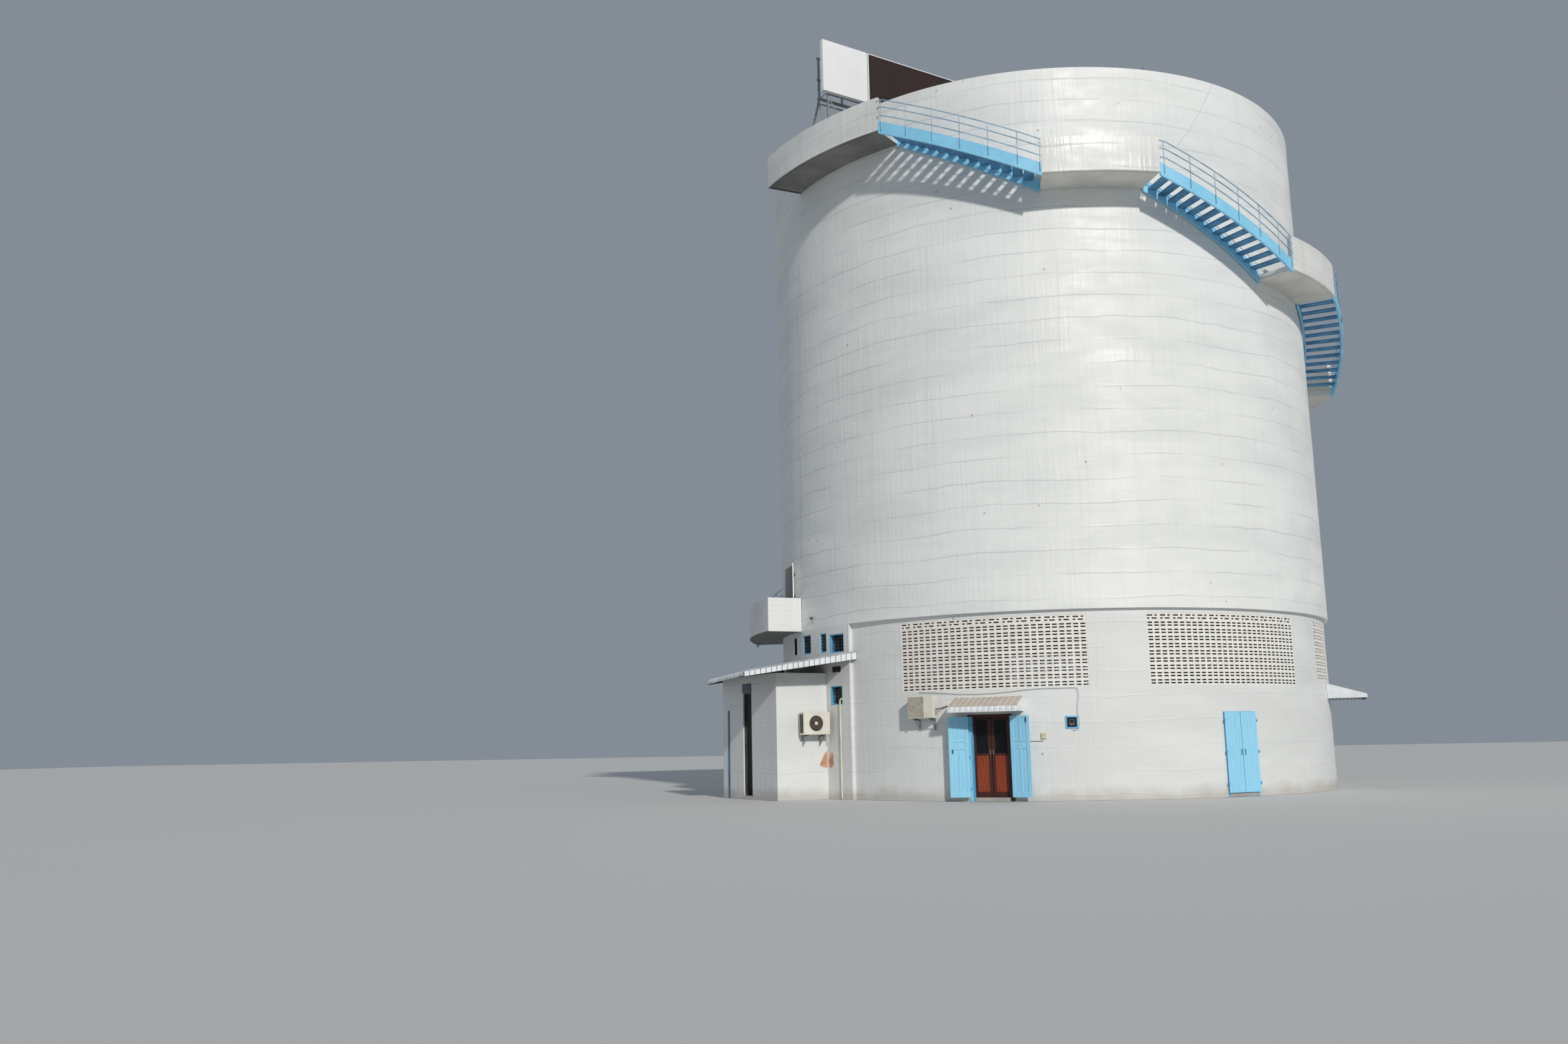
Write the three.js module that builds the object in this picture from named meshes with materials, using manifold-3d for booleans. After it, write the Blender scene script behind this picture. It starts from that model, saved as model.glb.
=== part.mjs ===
// Water tower: a concrete drum on a set-back base wall, with a stair that climbs round the outside.
// Millimetres, +Z up. The origin is on the ground at the drum's axis.
// Azimuths are degrees from -Y towards +X. The stair climbs as the azimuth falls.
import * as THREE from 'three';
import * as BufferGeometryUtils from 'three/addons/utils/BufferGeometryUtils.js';
import Module from 'manifold-3d';

const wasm = await Module();
wasm.setup();

// Driving dimensions
const DRUM_RADIUS = 8750;
const BASE_RADIUS = 8620;
const WALL = 250;
const LIP = 5050;
const RIM = 20670;
const GROUND_FLOOR = 100;
const FIRST_FLOOR = 5200;
const DECK = 19750;
const DECK_THICKNESS = 200;
const GAP = 0.3;
const SEAM = 0.002;
const FACET = 5;

// Breeze-block screens and the bays that hold them
const BAY_FIRST = -10.1;
const BAY_PITCH = 45.75;
const SCREEN_HALF = 17.45;
const SCREEN_BOTTOM = 2980;
const SCREEN_TOP = 4910;
const SIDE_BAY = 2;
const SIDE_SCREEN_BOTTOM = 3175;
const SCREEN_INNER = 8450;
const SCREEN_OUTER = 8612;
const SCREEN_COLUMNS = 6;
const SCREEN_ROWS = 3;
const SERVICE_FROM = 248;
const SERVICE_TO = 320;

// Stair
const STAIR_OUTER = 9900;
const LOW_LANDING_OUTER = 9850;
const STRINGER_INNER = 8765;
const STRINGER = 60;
const PARAPET = 120;
const PARAPET_HEIGHT = 1040;
const LANDING_SLAB = 160;
const TOP_FLOOR = 19310;
const RISERS = [14, 14, 13, 13, 13, 12, 12];
const TREAD_PITCH = 1.943;
const TREAD_SHARE = 0.92;
const TREAD_THICKNESS = 45;
const STRINGER_ABOVE = 130;
const STRINGER_DEPTH = 380;
const RAIL_HEIGHTS = [210, 480, 700];
const PIPE = 40;
const POST_FIRST = 0.7;
const POST_SPACING = 4.56;
const POST_LAST = 0.25;

// Doorways in the base wall, each in a frame turned to its azimuth
const ENTRANCE_AZIMUTH = -10.6;
const SERVICE_DOOR_AZIMUTH = 35.75;
const SIDE_DOOR_AZIMUTH = 80;
const DOOR_HALF = 530;
const DOOR_HEAD = 2260;
const FRAME = 50;
const FRAME_INNER = 8420;
const FRAME_OUTER = 8630;
const LEAF_BOTTOM = 110;
const OUTER_LEAF_OPEN = 170;
const HINGE_HEIGHTS = [350, 1180, 2010];

// Annex
const ANNEX_AZIMUTH = -51;
const ANNEX_OUT = 10410;
const ANNEX_NEAR = 520;
const ANNEX_FAR = -3140;
const ANNEX_WALL = 130;
const ANNEX_TOP = 3670;
const ROOF_AZIMUTH = -64;
const ROOF_NEAR = 3710;
const ROOF_FAR = -1340;
const ROOF_EAVE = 11220;
const ROOF_EAVE_TOP = 3690;
const ROOF_SLOPE = 0.163;

const COLOURS = {
  wall: 0xdfe0dc,
  slab: 0xc9cbc8,
  screen: 0xd9d6cf,
  blue: 0x7fb9dc,
  wood: 0x6a2a1c,
  metal: 0xb9bdbf,
  roofing: 0xc9cccc,
  appliance: 0xe4e2da,
  pale_board: 0xe8e8e6,
  dark_board: 0x4a3128,
};

function material(name) {
  return new THREE.MeshStandardMaterial({ color: COLOURS[name], roughness: 0.7, metalness: 0 });
}

const tower = new THREE.Group();

// Add one named sub-part to a group, which defaults to the whole tower
function addPart(name, geometry, colour, parent = tower) {
  const mesh = new THREE.Mesh(geometry, material(colour));
  mesh.name = name;
  parent.add(mesh);
  return mesh;
}

function radians(degrees) {
  return (degrees * Math.PI) / 180;
}

// A group turned so that its x runs along the wall at an azimuth and its y points to the axis
function turnedGroup(azimuth, parent = tower) {
  const group = new THREE.Group();
  group.rotation.z = radians(azimuth);
  parent.add(group);
  return group;
}

function toSolid(geometry) {
  const bare = geometry.clone();
  bare.deleteAttribute('normal');
  bare.deleteAttribute('uv');
  const merged = BufferGeometryUtils.mergeVertices(bare, 1e-3);
  return new wasm.Manifold(new wasm.Mesh({
    numProp: 3,
    vertProperties: new Float32Array(merged.attributes.position.array),
    triVerts: new Uint32Array(merged.index.array),
  }));
}

function toGeometry(solid) {
  const mesh = solid.getMesh();
  const geometry = new THREE.BufferGeometry();
  geometry.setAttribute('position', new THREE.BufferAttribute(new Float32Array(mesh.vertProperties), 3));
  geometry.setIndex(new THREE.BufferAttribute(new Uint32Array(mesh.triVerts), 1));
  geometry.computeVertexNormals();
  return geometry;
}

function join(...geometries) {
  return toGeometry(geometries.map(toSolid).reduce((whole, next) => whole.add(next)));
}

function cut(base, ...tools) {
  return toGeometry(tools.map(toSolid).reduce((whole, next) => whole.subtract(next), toSolid(base)));
}

function overlap(first, second) {
  return toGeometry(toSolid(first).intersect(toSolid(second)));
}

// A box between two corners
function block(x0, x1, y0, y1, z0, z1) {
  const geometry = new THREE.BoxGeometry(x1 - x0, y1 - y0, z1 - z0);
  return geometry.translate((x0 + x1) / 2, (y0 + y1) / 2, (z0 + z1) / 2);
}

// A box in a turned frame: across the wall, from an inner to an outer radius, and up
function wallBlock(x0, x1, inner, outer, z0, z1) {
  return block(x0, x1, -outer, -inner, z0, z1);
}

// The same box placed in the tower's own frame, for cutting curved walls
function turnedWallBlock(azimuth, ...sizes) {
  return wallBlock(...sizes).rotateZ(radians(azimuth));
}

// All rings share one set of flat facets, so that neighbouring rings stay parallel
function ringPoint(radius, azimuth) {
  const middle = (Math.floor(azimuth / FACET + 1e-9) + 0.5) * FACET;
  const reach = (radius * Math.cos(radians(FACET / 2))) / Math.cos(radians(azimuth - middle));
  return new THREE.Vector2(reach * Math.sin(radians(azimuth)), -reach * Math.cos(radians(azimuth)));
}

function ringAzimuths(from, to) {
  const azimuths = [from];
  for (let k = Math.ceil((from + 1e-3) / FACET); k * FACET < to - 1e-3; k += 1) {
    azimuths.push(k * FACET);
  }
  azimuths.push(to);
  return azimuths;
}

function upright(points, z0, z1) {
  const geometry = new THREE.ExtrudeGeometry(new THREE.Shape(points), { depth: z1 - z0, bevelEnabled: false });
  return geometry.translate(0, 0, z0);
}

// A curved wall or slab between two radii and two azimuths
function arcBlock(inner, outer, from, to, z0, z1) {
  const azimuths = ringAzimuths(from, to);
  const outside = azimuths.map((azimuth) => ringPoint(outer, azimuth));
  const inside = azimuths.map((azimuth) => ringPoint(inner, azimuth)).reverse();
  return upright([...outside, ...inside], z0, z1);
}

function disc(radius, z0, z1) {
  const azimuths = ringAzimuths(0, 360).slice(0, -1);
  return upright(azimuths.map((azimuth) => ringPoint(radius, azimuth)), z0, z1);
}

// A profile of outward reach and height, extruded along the wall between x0 and x1 of a turned frame
function wallProfile(points, x0, x1) {
  const geometry = new THREE.ExtrudeGeometry(new THREE.Shape(points), { depth: x1 - x0, bevelEnabled: false });
  const toFrame = new THREE.Matrix4().makeBasis(
    new THREE.Vector3(0, -1, 0), new THREE.Vector3(0, 0, 1), new THREE.Vector3(-1, 0, 0));
  return geometry.applyMatrix4(toFrame).translate(x1, 0, 0);
}

function profile(...pairs) {
  return pairs.map(([reach, height]) => new THREE.Vector2(reach, height));
}

// A cylinder standing on the z axis of its frame
function pin(x, y, radius, z0, z1) {
  return new THREE.CylinderGeometry(radius, radius, z1 - z0, 12)
    .rotateX(Math.PI / 2).translate(x, y, (z0 + z1) / 2);
}

// Floors

addPart('ground_slab', disc(BASE_RADIUS - WALL - GAP, 0, GROUND_FLOOR), 'slab');
addPart('first_floor_slab', disc(DRUM_RADIUS - WALL - GAP, LIP, FIRST_FLOOR), 'slab');
addPart('roof_deck', disc(DRUM_RADIUS - WALL - GAP, DECK - DECK_THICKNESS, DECK), 'slab');

// Base wall

function bayCentre(index) {
  return BAY_FIRST + index * BAY_PITCH;
}

function baseWall(from, to, z0, z1) {
  return arcBlock(BASE_RADIUS - WALL, BASE_RADIUS, from + SEAM / 2, to - SEAM / 2, z0, z1);
}

// The screen over the side door starts higher than the others
function screenBottom(index) {
  return index === SIDE_BAY ? SIDE_SCREEN_BOTTOM : SCREEN_BOTTOM;
}

function screenHole(index) {
  const centre = bayCentre(index);
  return arcBlock(BASE_RADIUS - WALL - 100, BASE_RADIUS + 100, centre - SCREEN_HALF, centre + SCREEN_HALF,
    screenBottom(index), SCREEN_TOP);
}

function doorHole(azimuth, top) {
  return turnedWallBlock(azimuth, -DOOR_HALF, DOOR_HALF, BASE_RADIUS - WALL - 200, BASE_RADIUS + 200, -10, top);
}

// The stretch of wall over a doorway, between its jambs and under the screen
function doorLintel(azimuth) {
  const ring = baseWall(azimuth - FACET * 2, azimuth + FACET * 2, DOOR_HEAD, SCREEN_BOTTOM);
  const between = turnedWallBlock(azimuth, -DOOR_HALF + GAP, DOOR_HALF - GAP,
    BASE_RADIUS - WALL - 200, BASE_RADIUS + 200, DOOR_HEAD - 10, SCREEN_BOTTOM + 10);
  return overlap(ring, between);
}

const FRONT_FROM = SERVICE_TO - 360;
const SECOND_BAY_END = bayCentre(1.5);
const THIRD_BAY_END = bayCentre(2.5);
const ABOVE_SCREENS = SCREEN_BOTTOM + 10;

addPart('base_wall_left_of_entrance',
  cut(baseWall(FRONT_FROM, ENTRANCE_AZIMUTH, 0, SCREEN_BOTTOM), doorHole(ENTRANCE_AZIMUTH, ABOVE_SCREENS)), 'wall');
addPart('base_wall_between_doors',
  cut(baseWall(ENTRANCE_AZIMUTH, SERVICE_DOOR_AZIMUTH, 0, SCREEN_BOTTOM),
    doorHole(ENTRANCE_AZIMUTH, ABOVE_SCREENS), doorHole(SERVICE_DOOR_AZIMUTH, ABOVE_SCREENS)), 'wall');
addPart('base_wall_right_of_doors',
  cut(baseWall(SERVICE_DOOR_AZIMUTH, SECOND_BAY_END, 0, SCREEN_BOTTOM),
    doorHole(SERVICE_DOOR_AZIMUTH, ABOVE_SCREENS)), 'wall');
addPart('lintel_over_entrance', doorLintel(ENTRANCE_AZIMUTH), 'wall');
addPart('lintel_over_service_door', doorLintel(SERVICE_DOOR_AZIMUTH), 'wall');
addPart('base_wall_front_upper',
  cut(baseWall(FRONT_FROM, SECOND_BAY_END, SCREEN_BOTTOM, LIP), screenHole(0), screenHole(1)), 'wall');
addPart('base_wall_right_bay',
  cut(baseWall(SECOND_BAY_END, THIRD_BAY_END, 0, LIP), screenHole(SIDE_BAY), doorHole(SIDE_DOOR_AZIMUTH, DOOR_HEAD)),
  'wall');
addPart('base_wall_rear_bays',
  cut(baseWall(THIRD_BAY_END, SERVICE_FROM, 0, LIP), screenHole(3), screenHole(4), screenHole(5)), 'wall');

// Service wall, flush with the drum, with its small windows: azimuth, half width, sill, head
const SERVICE_WINDOWS = [
  [-43.7, 335, 4240, 4790],
  [-48.3, 175, 4290, 4860],
  [-55.1, 280, 4310, 4890],
  [-61.45, 140, 4350, 4880],
  [-44.2, 290, 2720, 3270],
];

addPart('service_wall', cut(
  arcBlock(BASE_RADIUS - WALL, DRUM_RADIUS, SERVICE_FROM + SEAM / 2, SERVICE_TO - SEAM / 2, 0, LIP),
  ...SERVICE_WINDOWS.map(([azimuth, half, sill, head]) => turnedWallBlock(azimuth, -half, half,
    BASE_RADIUS - WALL - 200, DRUM_RADIUS + 200, sill, head))), 'wall');

// Breeze-block screens, with coarse openings that stand for the slots between the blocks
function screen(index) {
  const centre = bayCentre(index);
  const bottom = screenBottom(index);
  const panel = arcBlock(SCREEN_INNER, SCREEN_OUTER, centre - SCREEN_HALF + SEAM, centre + SCREEN_HALF - SEAM,
    bottom, SCREEN_TOP);
  const columnStep = (2 * SCREEN_HALF) / SCREEN_COLUMNS;
  const rowStep = (SCREEN_TOP - bottom) / SCREEN_ROWS;
  const holes = [];
  for (let column = 0; column < SCREEN_COLUMNS; column += 1) {
    for (let row = 0; row < SCREEN_ROWS; row += 1) {
      const azimuth = centre - SCREEN_HALF + (column + 0.5) * columnStep;
      const middle = bottom + (row + 0.5) * rowStep;
      const half = BASE_RADIUS * radians(columnStep) * 0.38;
      holes.push(turnedWallBlock(azimuth, -half, half, SCREEN_INNER - 100, SCREEN_OUTER + 100,
        middle - rowStep * 0.32, middle + rowStep * 0.32));
    }
  }
  return cut(panel, ...holes);
}

const SCREEN_NAMES = ['screen_front', 'screen_front_right', 'screen_right', 'screen_rear_right',
  'screen_rear', 'screen_rear_left'];
SCREEN_NAMES.forEach((name, index) => addPart(name, screen(index), 'screen'));

// Drum shell, split beside and over the doorway at the lowest landing
const UPPER_DOOR_AZIMUTH = -66.15;
const UPPER_DOOR_HALF = 595;
const UPPER_DOOR_HEAD = 7220;
const DOOR_SIDE_FROM = -80;
const DOOR_SIDE_TO = -50;

function drumWall(from, to, z0 = LIP, z1 = RIM) {
  return arcBlock(DRUM_RADIUS - WALL, DRUM_RADIUS, from + SEAM / 2, to - SEAM / 2, z0, z1);
}

// A block through the wall at the upper doorway's azimuth
function atUpperDoor(x0, x1, z0) {
  return turnedWallBlock(UPPER_DOOR_AZIMUTH, x0, x1, DRUM_RADIUS - WALL - 300, DRUM_RADIUS + 300,
    z0, UPPER_DOOR_HEAD + 10);
}

addPart('drum_front', drumWall(DOOR_SIDE_TO, 70), 'wall');
addPart('drum_rear', drumWall(70, DOOR_SIDE_FROM + 360), 'wall');
addPart('drum_door_left', cut(
  drumWall(DOOR_SIDE_FROM, UPPER_DOOR_AZIMUTH + FACET, LIP, UPPER_DOOR_HEAD),
  atUpperDoor(-UPPER_DOOR_HALF, UPPER_DOOR_HALF + 10, FIRST_FLOOR),
  atUpperDoor(UPPER_DOOR_HALF - GAP, UPPER_DOOR_HALF + 400, LIP - 10)), 'wall');
addPart('drum_door_right', cut(
  drumWall(UPPER_DOOR_AZIMUTH, DOOR_SIDE_TO, LIP, UPPER_DOOR_HEAD),
  atUpperDoor(-UPPER_DOOR_HALF, UPPER_DOOR_HALF, LIP - 10)), 'wall');
addPart('drum_over_door', drumWall(DOOR_SIDE_FROM, DOOR_SIDE_TO, UPPER_DOOR_HEAD, RIM), 'wall');

// The upper door leaf stands open beside its doorway, nearly flat on the wall
const LEAF_FACET = -62.5;
const LEAF_FACET_REACH = DRUM_RADIUS * Math.cos(radians(FACET / 2));
const UPPER_LEAF_HINGE_X = 140;
const UPPER_LEAF_TILT = 16.6;
const UPPER_LEAF_WIDTH = 510;
const UPPER_LEAF_THICKNESS = 35;

function upperDoorLeaf() {
  const leaf = block(10, UPPER_LEAF_WIDTH, -UPPER_LEAF_THICKNESS, 0, FIRST_FLOOR + 20, UPPER_DOOR_HEAD - 20)
    .rotateZ(radians(-UPPER_LEAF_TILT))
    .translate(UPPER_LEAF_HINGE_X, -LEAF_FACET_REACH - 20, 0);
  const hinges = [FIRST_FLOOR + 250, FIRST_FLOOR + 950, FIRST_FLOOR + 1650].map((z) => wallBlock(
    UPPER_LEAF_HINGE_X - 10, UPPER_LEAF_HINGE_X + 60, LEAF_FACET_REACH + GAP, LEAF_FACET_REACH + 45, z, z + 90));
  return join(leaf, ...hinges);
}

addPart('upper_door_leaf', upperDoorLeaf(), 'pale_board', turnedGroup(LEAF_FACET));

// Stair: landings and flights from the top balcony down to the lowest landing
const RISE = (TOP_FLOOR - FIRST_FLOOR) / RISERS.reduce((sum, count) => sum + count);
const TOP_BALCONY = [-53.5, -23.9];
const LANDING_A_TO = 22.4;
const LOW_LANDING_TO = 302.4;
const LOW_LANDING_FROM = 269.2;
const REAR_LANDING = (LOW_LANDING_FROM - LANDING_A_TO
  - RISERS.slice(1).reduce((sum, count) => sum + count) * TREAD_PITCH) / 5;

function landing(from, to, floor, closedEnds, outer = STAIR_OUTER) {
  const slab = arcBlock(DRUM_RADIUS + GAP, outer, from, to, floor - LANDING_SLAB, floor);
  const top = floor - LANDING_SLAB + PARAPET_HEIGHT;
  const walls = [arcBlock(outer - PARAPET, outer, from, to, floor - LANDING_SLAB, top)];
  const wallAngle = (PARAPET / outer) * (180 / Math.PI);
  if (closedEnds.includes('from')) {
    walls.push(arcBlock(DRUM_RADIUS + GAP, outer, from, from + wallAngle, floor - LANDING_SLAB, top));
  }
  if (closedEnds.includes('to')) {
    walls.push(arcBlock(DRUM_RADIUS + GAP, outer, to - wallAngle, to, floor - LANDING_SLAB, top));
  }
  return join(slab, ...walls);
}

// A band that climbs round the tower: a ruled strip through equal steps of azimuth
function climbingBand(inner, outer, lowAzimuth, highAzimuth, steps, bottomAt, topAt) {
  const positions = [];
  const ring = (k) => {
    const azimuth = lowAzimuth + ((highAzimuth - lowAzimuth) * k) / steps;
    const sine = Math.sin(radians(azimuth));
    const cosine = Math.cos(radians(azimuth));
    return [[inner, bottomAt(azimuth)], [outer, bottomAt(azimuth)], [outer, topAt(azimuth)], [inner, topAt(azimuth)]]
      .map(([radius, height]) => [radius * sine, -radius * cosine, height]);
  };
  const quad = (a, b, c, d) => positions.push(...a, ...c, ...b, ...a, ...d, ...c);
  for (let k = 0; k < steps; k += 1) {
    const here = ring(k);
    const next = ring(k + 1);
    for (let side = 0; side < 4; side += 1) {
      const other = (side + 1) % 4;
      quad(here[side], next[side], next[other], here[other]);
    }
  }
  const first = ring(0);
  const last = ring(steps);
  quad(first[0], first[1], first[2], first[3]);
  quad(last[3], last[2], last[1], last[0]);
  const geometry = new THREE.BufferGeometry();
  geometry.setAttribute('position', new THREE.BufferAttribute(new Float32Array(positions), 3));
  return BufferGeometryUtils.mergeVertices(geometry, 1e-3);
}

function sector(inner, outer, from, to, z0, z1) {
  const corner = (radius, azimuth) => new THREE.Vector2(
    radius * Math.sin(radians(azimuth)), -radius * Math.cos(radians(azimuth)));
  return upright([corner(outer, from), corner(outer, to), corner(inner, to), corner(inner, from)], z0, z1);
}

function flight(lowAzimuth, risers, floor) {
  const high = lowAzimuth - risers * TREAD_PITCH;
  const line = (azimuth) => floor + ((lowAzimuth - azimuth) / TREAD_PITCH) * RISE;
  const top = (azimuth) => line(azimuth) + STRINGER_ABOVE;
  const bottom = (azimuth) => top(azimuth) - STRINGER_DEPTH;
  const steps = Math.floor(risers / 2);
  const from = lowAzimuth - SEAM;
  const to = high + SEAM;
  const pieces = [
    climbingBand(STAIR_OUTER - STRINGER, STAIR_OUTER, from, to, steps, bottom, top),
    climbingBand(STRINGER_INNER, STRINGER_INNER + STRINGER, from, to, steps, bottom, top),
  ];
  const halfTread = (TREAD_PITCH * TREAD_SHARE) / 2;
  for (let step = 1; step < risers; step += 1) {
    const azimuth = lowAzimuth - step * TREAD_PITCH;
    pieces.push(sector(STRINGER_INNER + STRINGER / 2, STAIR_OUTER - STRINGER / 2,
      azimuth - halfTread, azimuth + halfTread, line(azimuth) - TREAD_THICKNESS, line(azimuth)));
  }
  for (const height of RAIL_HEIGHTS) {
    pieces.push(climbingBand(STAIR_OUTER + 6, STAIR_OUTER + 6 + PIPE, from, to, steps,
      (azimuth) => top(azimuth) + height - PIPE, (azimuth) => top(azimuth) + height));
  }
  const postHalf = ((PIPE / 2) / STAIR_OUTER) * (180 / Math.PI);
  const postAzimuths = [lowAzimuth - POST_LAST];
  for (let azimuth = high + POST_FIRST; azimuth < lowAzimuth - POST_FIRST; azimuth += POST_SPACING) {
    postAzimuths.push(azimuth);
  }
  for (const azimuth of postAzimuths) {
    pieces.push(sector(STAIR_OUTER - 12, STAIR_OUTER + 4 + PIPE, azimuth - postHalf, azimuth + postHalf,
      top(azimuth) - 280, top(azimuth) + RAIL_HEIGHTS[2] + 3));
  }
  return join(...pieces);
}

let floorLevel = TOP_FLOOR;
let lowEnd = TOP_BALCONY[1];
addPart('top_balcony', landing(TOP_BALCONY[0], TOP_BALCONY[1], floorLevel, ['from']), 'wall');
const LANDING_NAMES = ['landing_front', 'landing_right', 'landing_rear_right', 'landing_rear',
  'landing_rear_left', 'landing_left'];
RISERS.forEach((count, index) => {
  const lowAzimuth = lowEnd + count * TREAD_PITCH;
  floorLevel -= count * RISE;
  addPart(`flight_${RISERS.length - index}`, flight(lowAzimuth, count, floorLevel), 'blue');
  if (index < LANDING_NAMES.length) {
    const length = index === 0 ? LANDING_A_TO - lowAzimuth : REAR_LANDING;
    lowEnd = lowAzimuth + length;
    addPart(LANDING_NAMES[index], landing(lowAzimuth, lowEnd, floorLevel, []), 'wall');
  }
});
addPart('low_landing',
  landing(LOW_LANDING_FROM, LOW_LANDING_TO, FIRST_FLOOR, ['to'], LOW_LANDING_OUTER), 'wall');

// Doors: frames with hinge lugs, and leaves with knuckles that sit on the lugs

const KNUCKLE = 11;
const KNUCKLE_HEIGHT = 40;
const OUTER_AXIS_X = 562;
const OUTER_AXIS_REACH = 8685;
const INNER_AXIS_X = 466;
const INNER_AXIS_REACH = 8428;
const MEETING_GAP = 6;

function frameRing() {
  const side = DOOR_HALF - GAP;
  const whole = wallBlock(-side, side, FRAME_INNER, FRAME_OUTER, 0, DOOR_HEAD - GAP);
  const clear = wallBlock(-side + FRAME, side - FRAME, FRAME_INNER - 10, FRAME_OUTER + 10,
    GROUND_FLOOR, DOOR_HEAD - FRAME);
  return cut(whole, clear);
}

// Lugs that carry leaves hung outside the frame
function outerLugs(side) {
  return HINGE_HEIGHTS.flatMap((z) => [
    wallBlock(...ordered(side * 480, side * 571), 8606, 8626, z - KNUCKLE_HEIGHT, z),
    wallBlock(...ordered(side * 553, side * 571), 8610, OUTER_AXIS_REACH, z - KNUCKLE_HEIGHT, z),
    pin(side * OUTER_AXIS_X, -OUTER_AXIS_REACH, KNUCKLE, z - KNUCKLE_HEIGHT, z),
  ]);
}

function innerLugs(side) {
  return HINGE_HEIGHTS.flatMap((z) => [
    wallBlock(...ordered(side * 462, side * 490), FRAME_INNER + 4, FRAME_INNER + 12, z - KNUCKLE_HEIGHT, z),
    pin(side * INNER_AXIS_X, -INNER_AXIS_REACH, KNUCKLE, z - KNUCKLE_HEIGHT, z),
  ]);
}

function ordered(first, second) {
  return first < second ? [first, second] : [second, first];
}

// A leaf in its hinge's own frame: it lies closed from the axis towards the middle of the doorway
function leaf(side, width, near, far, top) {
  const body = block(...ordered(-side * width, -side * near), ...ordered(far, far > 0 ? near : -near),
    LEAF_BOTTOM, top);
  const knuckles = HINGE_HEIGHTS.flatMap((z) => [
    pin(0, 0, KNUCKLE, z + GAP, z + KNUCKLE_HEIGHT),
    block(...ordered(-side * 30, side * 2), ...ordered(far * 0.6, 0), z + GAP, z + KNUCKLE_HEIGHT),
  ]);
  return join(body, ...knuckles);
}

function hingeGroup(parent, x, reach, angle) {
  const group = new THREE.Group();
  group.position.set(x, -reach, 0);
  group.rotation.z = radians(angle);
  parent.add(group);
  return group;
}

function addOuterLeaves(parent, names, openAngle, colour) {
  [-1, 1].forEach((side, index) => {
    const hinge = hingeGroup(parent, side * OUTER_AXIS_X, OUTER_AXIS_REACH, side * openAngle);
    addPart(names[index], leaf(side, OUTER_AXIS_X - MEETING_GAP, 12.5, 47.5, DOOR_HEAD - 10), colour, hinge);
  });
}

function addInnerLeaves(parent, names, colour) {
  [-1, 1].forEach((side, index) => {
    const hinge = hingeGroup(parent, side * INNER_AXIS_X, INNER_AXIS_REACH, 0);
    addPart(names[index], innerLeaf(side), colour, hinge);
  });
}

// An inner leaf lies outside its axis and opens inward, with glass over a wooden panel
function innerLeaf(side) {
  const body = block(...ordered(-side * (INNER_AXIS_X - MEETING_GAP), side * 3), -52, -12,
    LEAF_BOTTOM, DOOR_HEAD - FRAME - 10);
  const knuckles = HINGE_HEIGHTS.flatMap((z) => [
    pin(0, 0, KNUCKLE, z + GAP, z + KNUCKLE_HEIGHT),
    block(...ordered(-side * 30, side * 2), -20, 0, z + GAP, z + KNUCKLE_HEIGHT),
  ]);
  return join(body, ...knuckles);
}

const entrance = turnedGroup(ENTRANCE_AZIMUTH);
addPart('entrance_frame',
  join(frameRing(), ...outerLugs(-1), ...outerLugs(1), ...innerLugs(-1), ...innerLugs(1)), 'wood', entrance);
addOuterLeaves(entrance, ['entrance_outer_leaf_left', 'entrance_outer_leaf_right'], OUTER_LEAF_OPEN, 'blue');
addInnerLeaves(entrance, ['entrance_inner_leaf_left', 'entrance_inner_leaf_right'], 'wood');

const serviceDoor = turnedGroup(SERVICE_DOOR_AZIMUTH);
addPart('service_door_frame', join(frameRing(), ...outerLugs(-1), ...outerLugs(1)), 'blue', serviceDoor);
addOuterLeaves(serviceDoor, ['service_door_leaf_left', 'service_door_leaf_right'], 0, 'blue');

const sideDoor = turnedGroup(SIDE_DOOR_AZIMUTH);
addPart('side_door', wallBlock(-DOOR_HALF + GAP, DOOR_HALF - GAP, 8500, 8560, 0, DOOR_HEAD - GAP), 'blue', sideDoor);

// Ribbed awnings: a sloping sheet with a bent front edge and two closed cheeks
function awning(half, front, backHeight, frontHeight, lipHeight, wallRadius) {
  const back = wallRadius - 250;
  const sheet = 25;
  const slope = (backHeight - frontHeight) / (front - wallRadius);
  const rise = (reach) => frontHeight + (front - reach) * slope;
  const cover = wallProfile(profile([back, rise(back)], [front, frontHeight], [front, lipHeight],
    [front - sheet, lipHeight], [front - sheet, rise(front - sheet) - sheet], [back, rise(back) - sheet]),
  -half, half);
  const cheek = (x0, x1) => wallProfile(profile([back, rise(back)], [front, frontHeight], [front, lipHeight],
    [back, lipHeight]), x0, x1);
  return join(cover, cheek(-half, -half + sheet), cheek(half - sheet, half));
}

const AWNING_AZIMUTH = -10.7;
addPart('entrance_awning', cut(
  awning(945, 9450, 2765, 2505, 2355, BASE_RADIUS).rotateZ(radians(AWNING_AZIMUTH)),
  disc(BASE_RADIUS + GAP, 0, LIP)), 'roofing');
addPart('side_awning', cut(
  awning(1330, 9620, 3085, 2790, 2650, BASE_RADIUS).rotateZ(radians(SIDE_DOOR_AZIMUTH)),
  disc(BASE_RADIUS + GAP, 0, LIP)), 'roofing');

// Annex

const annex = turnedGroup(ANNEX_AZIMUTH);
const ANNEX_DOOR = [-1860, -1110];
const ANNEX_DOOR_HEAD = 3170;
const drumInAnnexFrame = disc(DRUM_RADIUS + GAP, -10, LIP).rotateZ(radians(-ANNEX_AZIMUTH));

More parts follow.
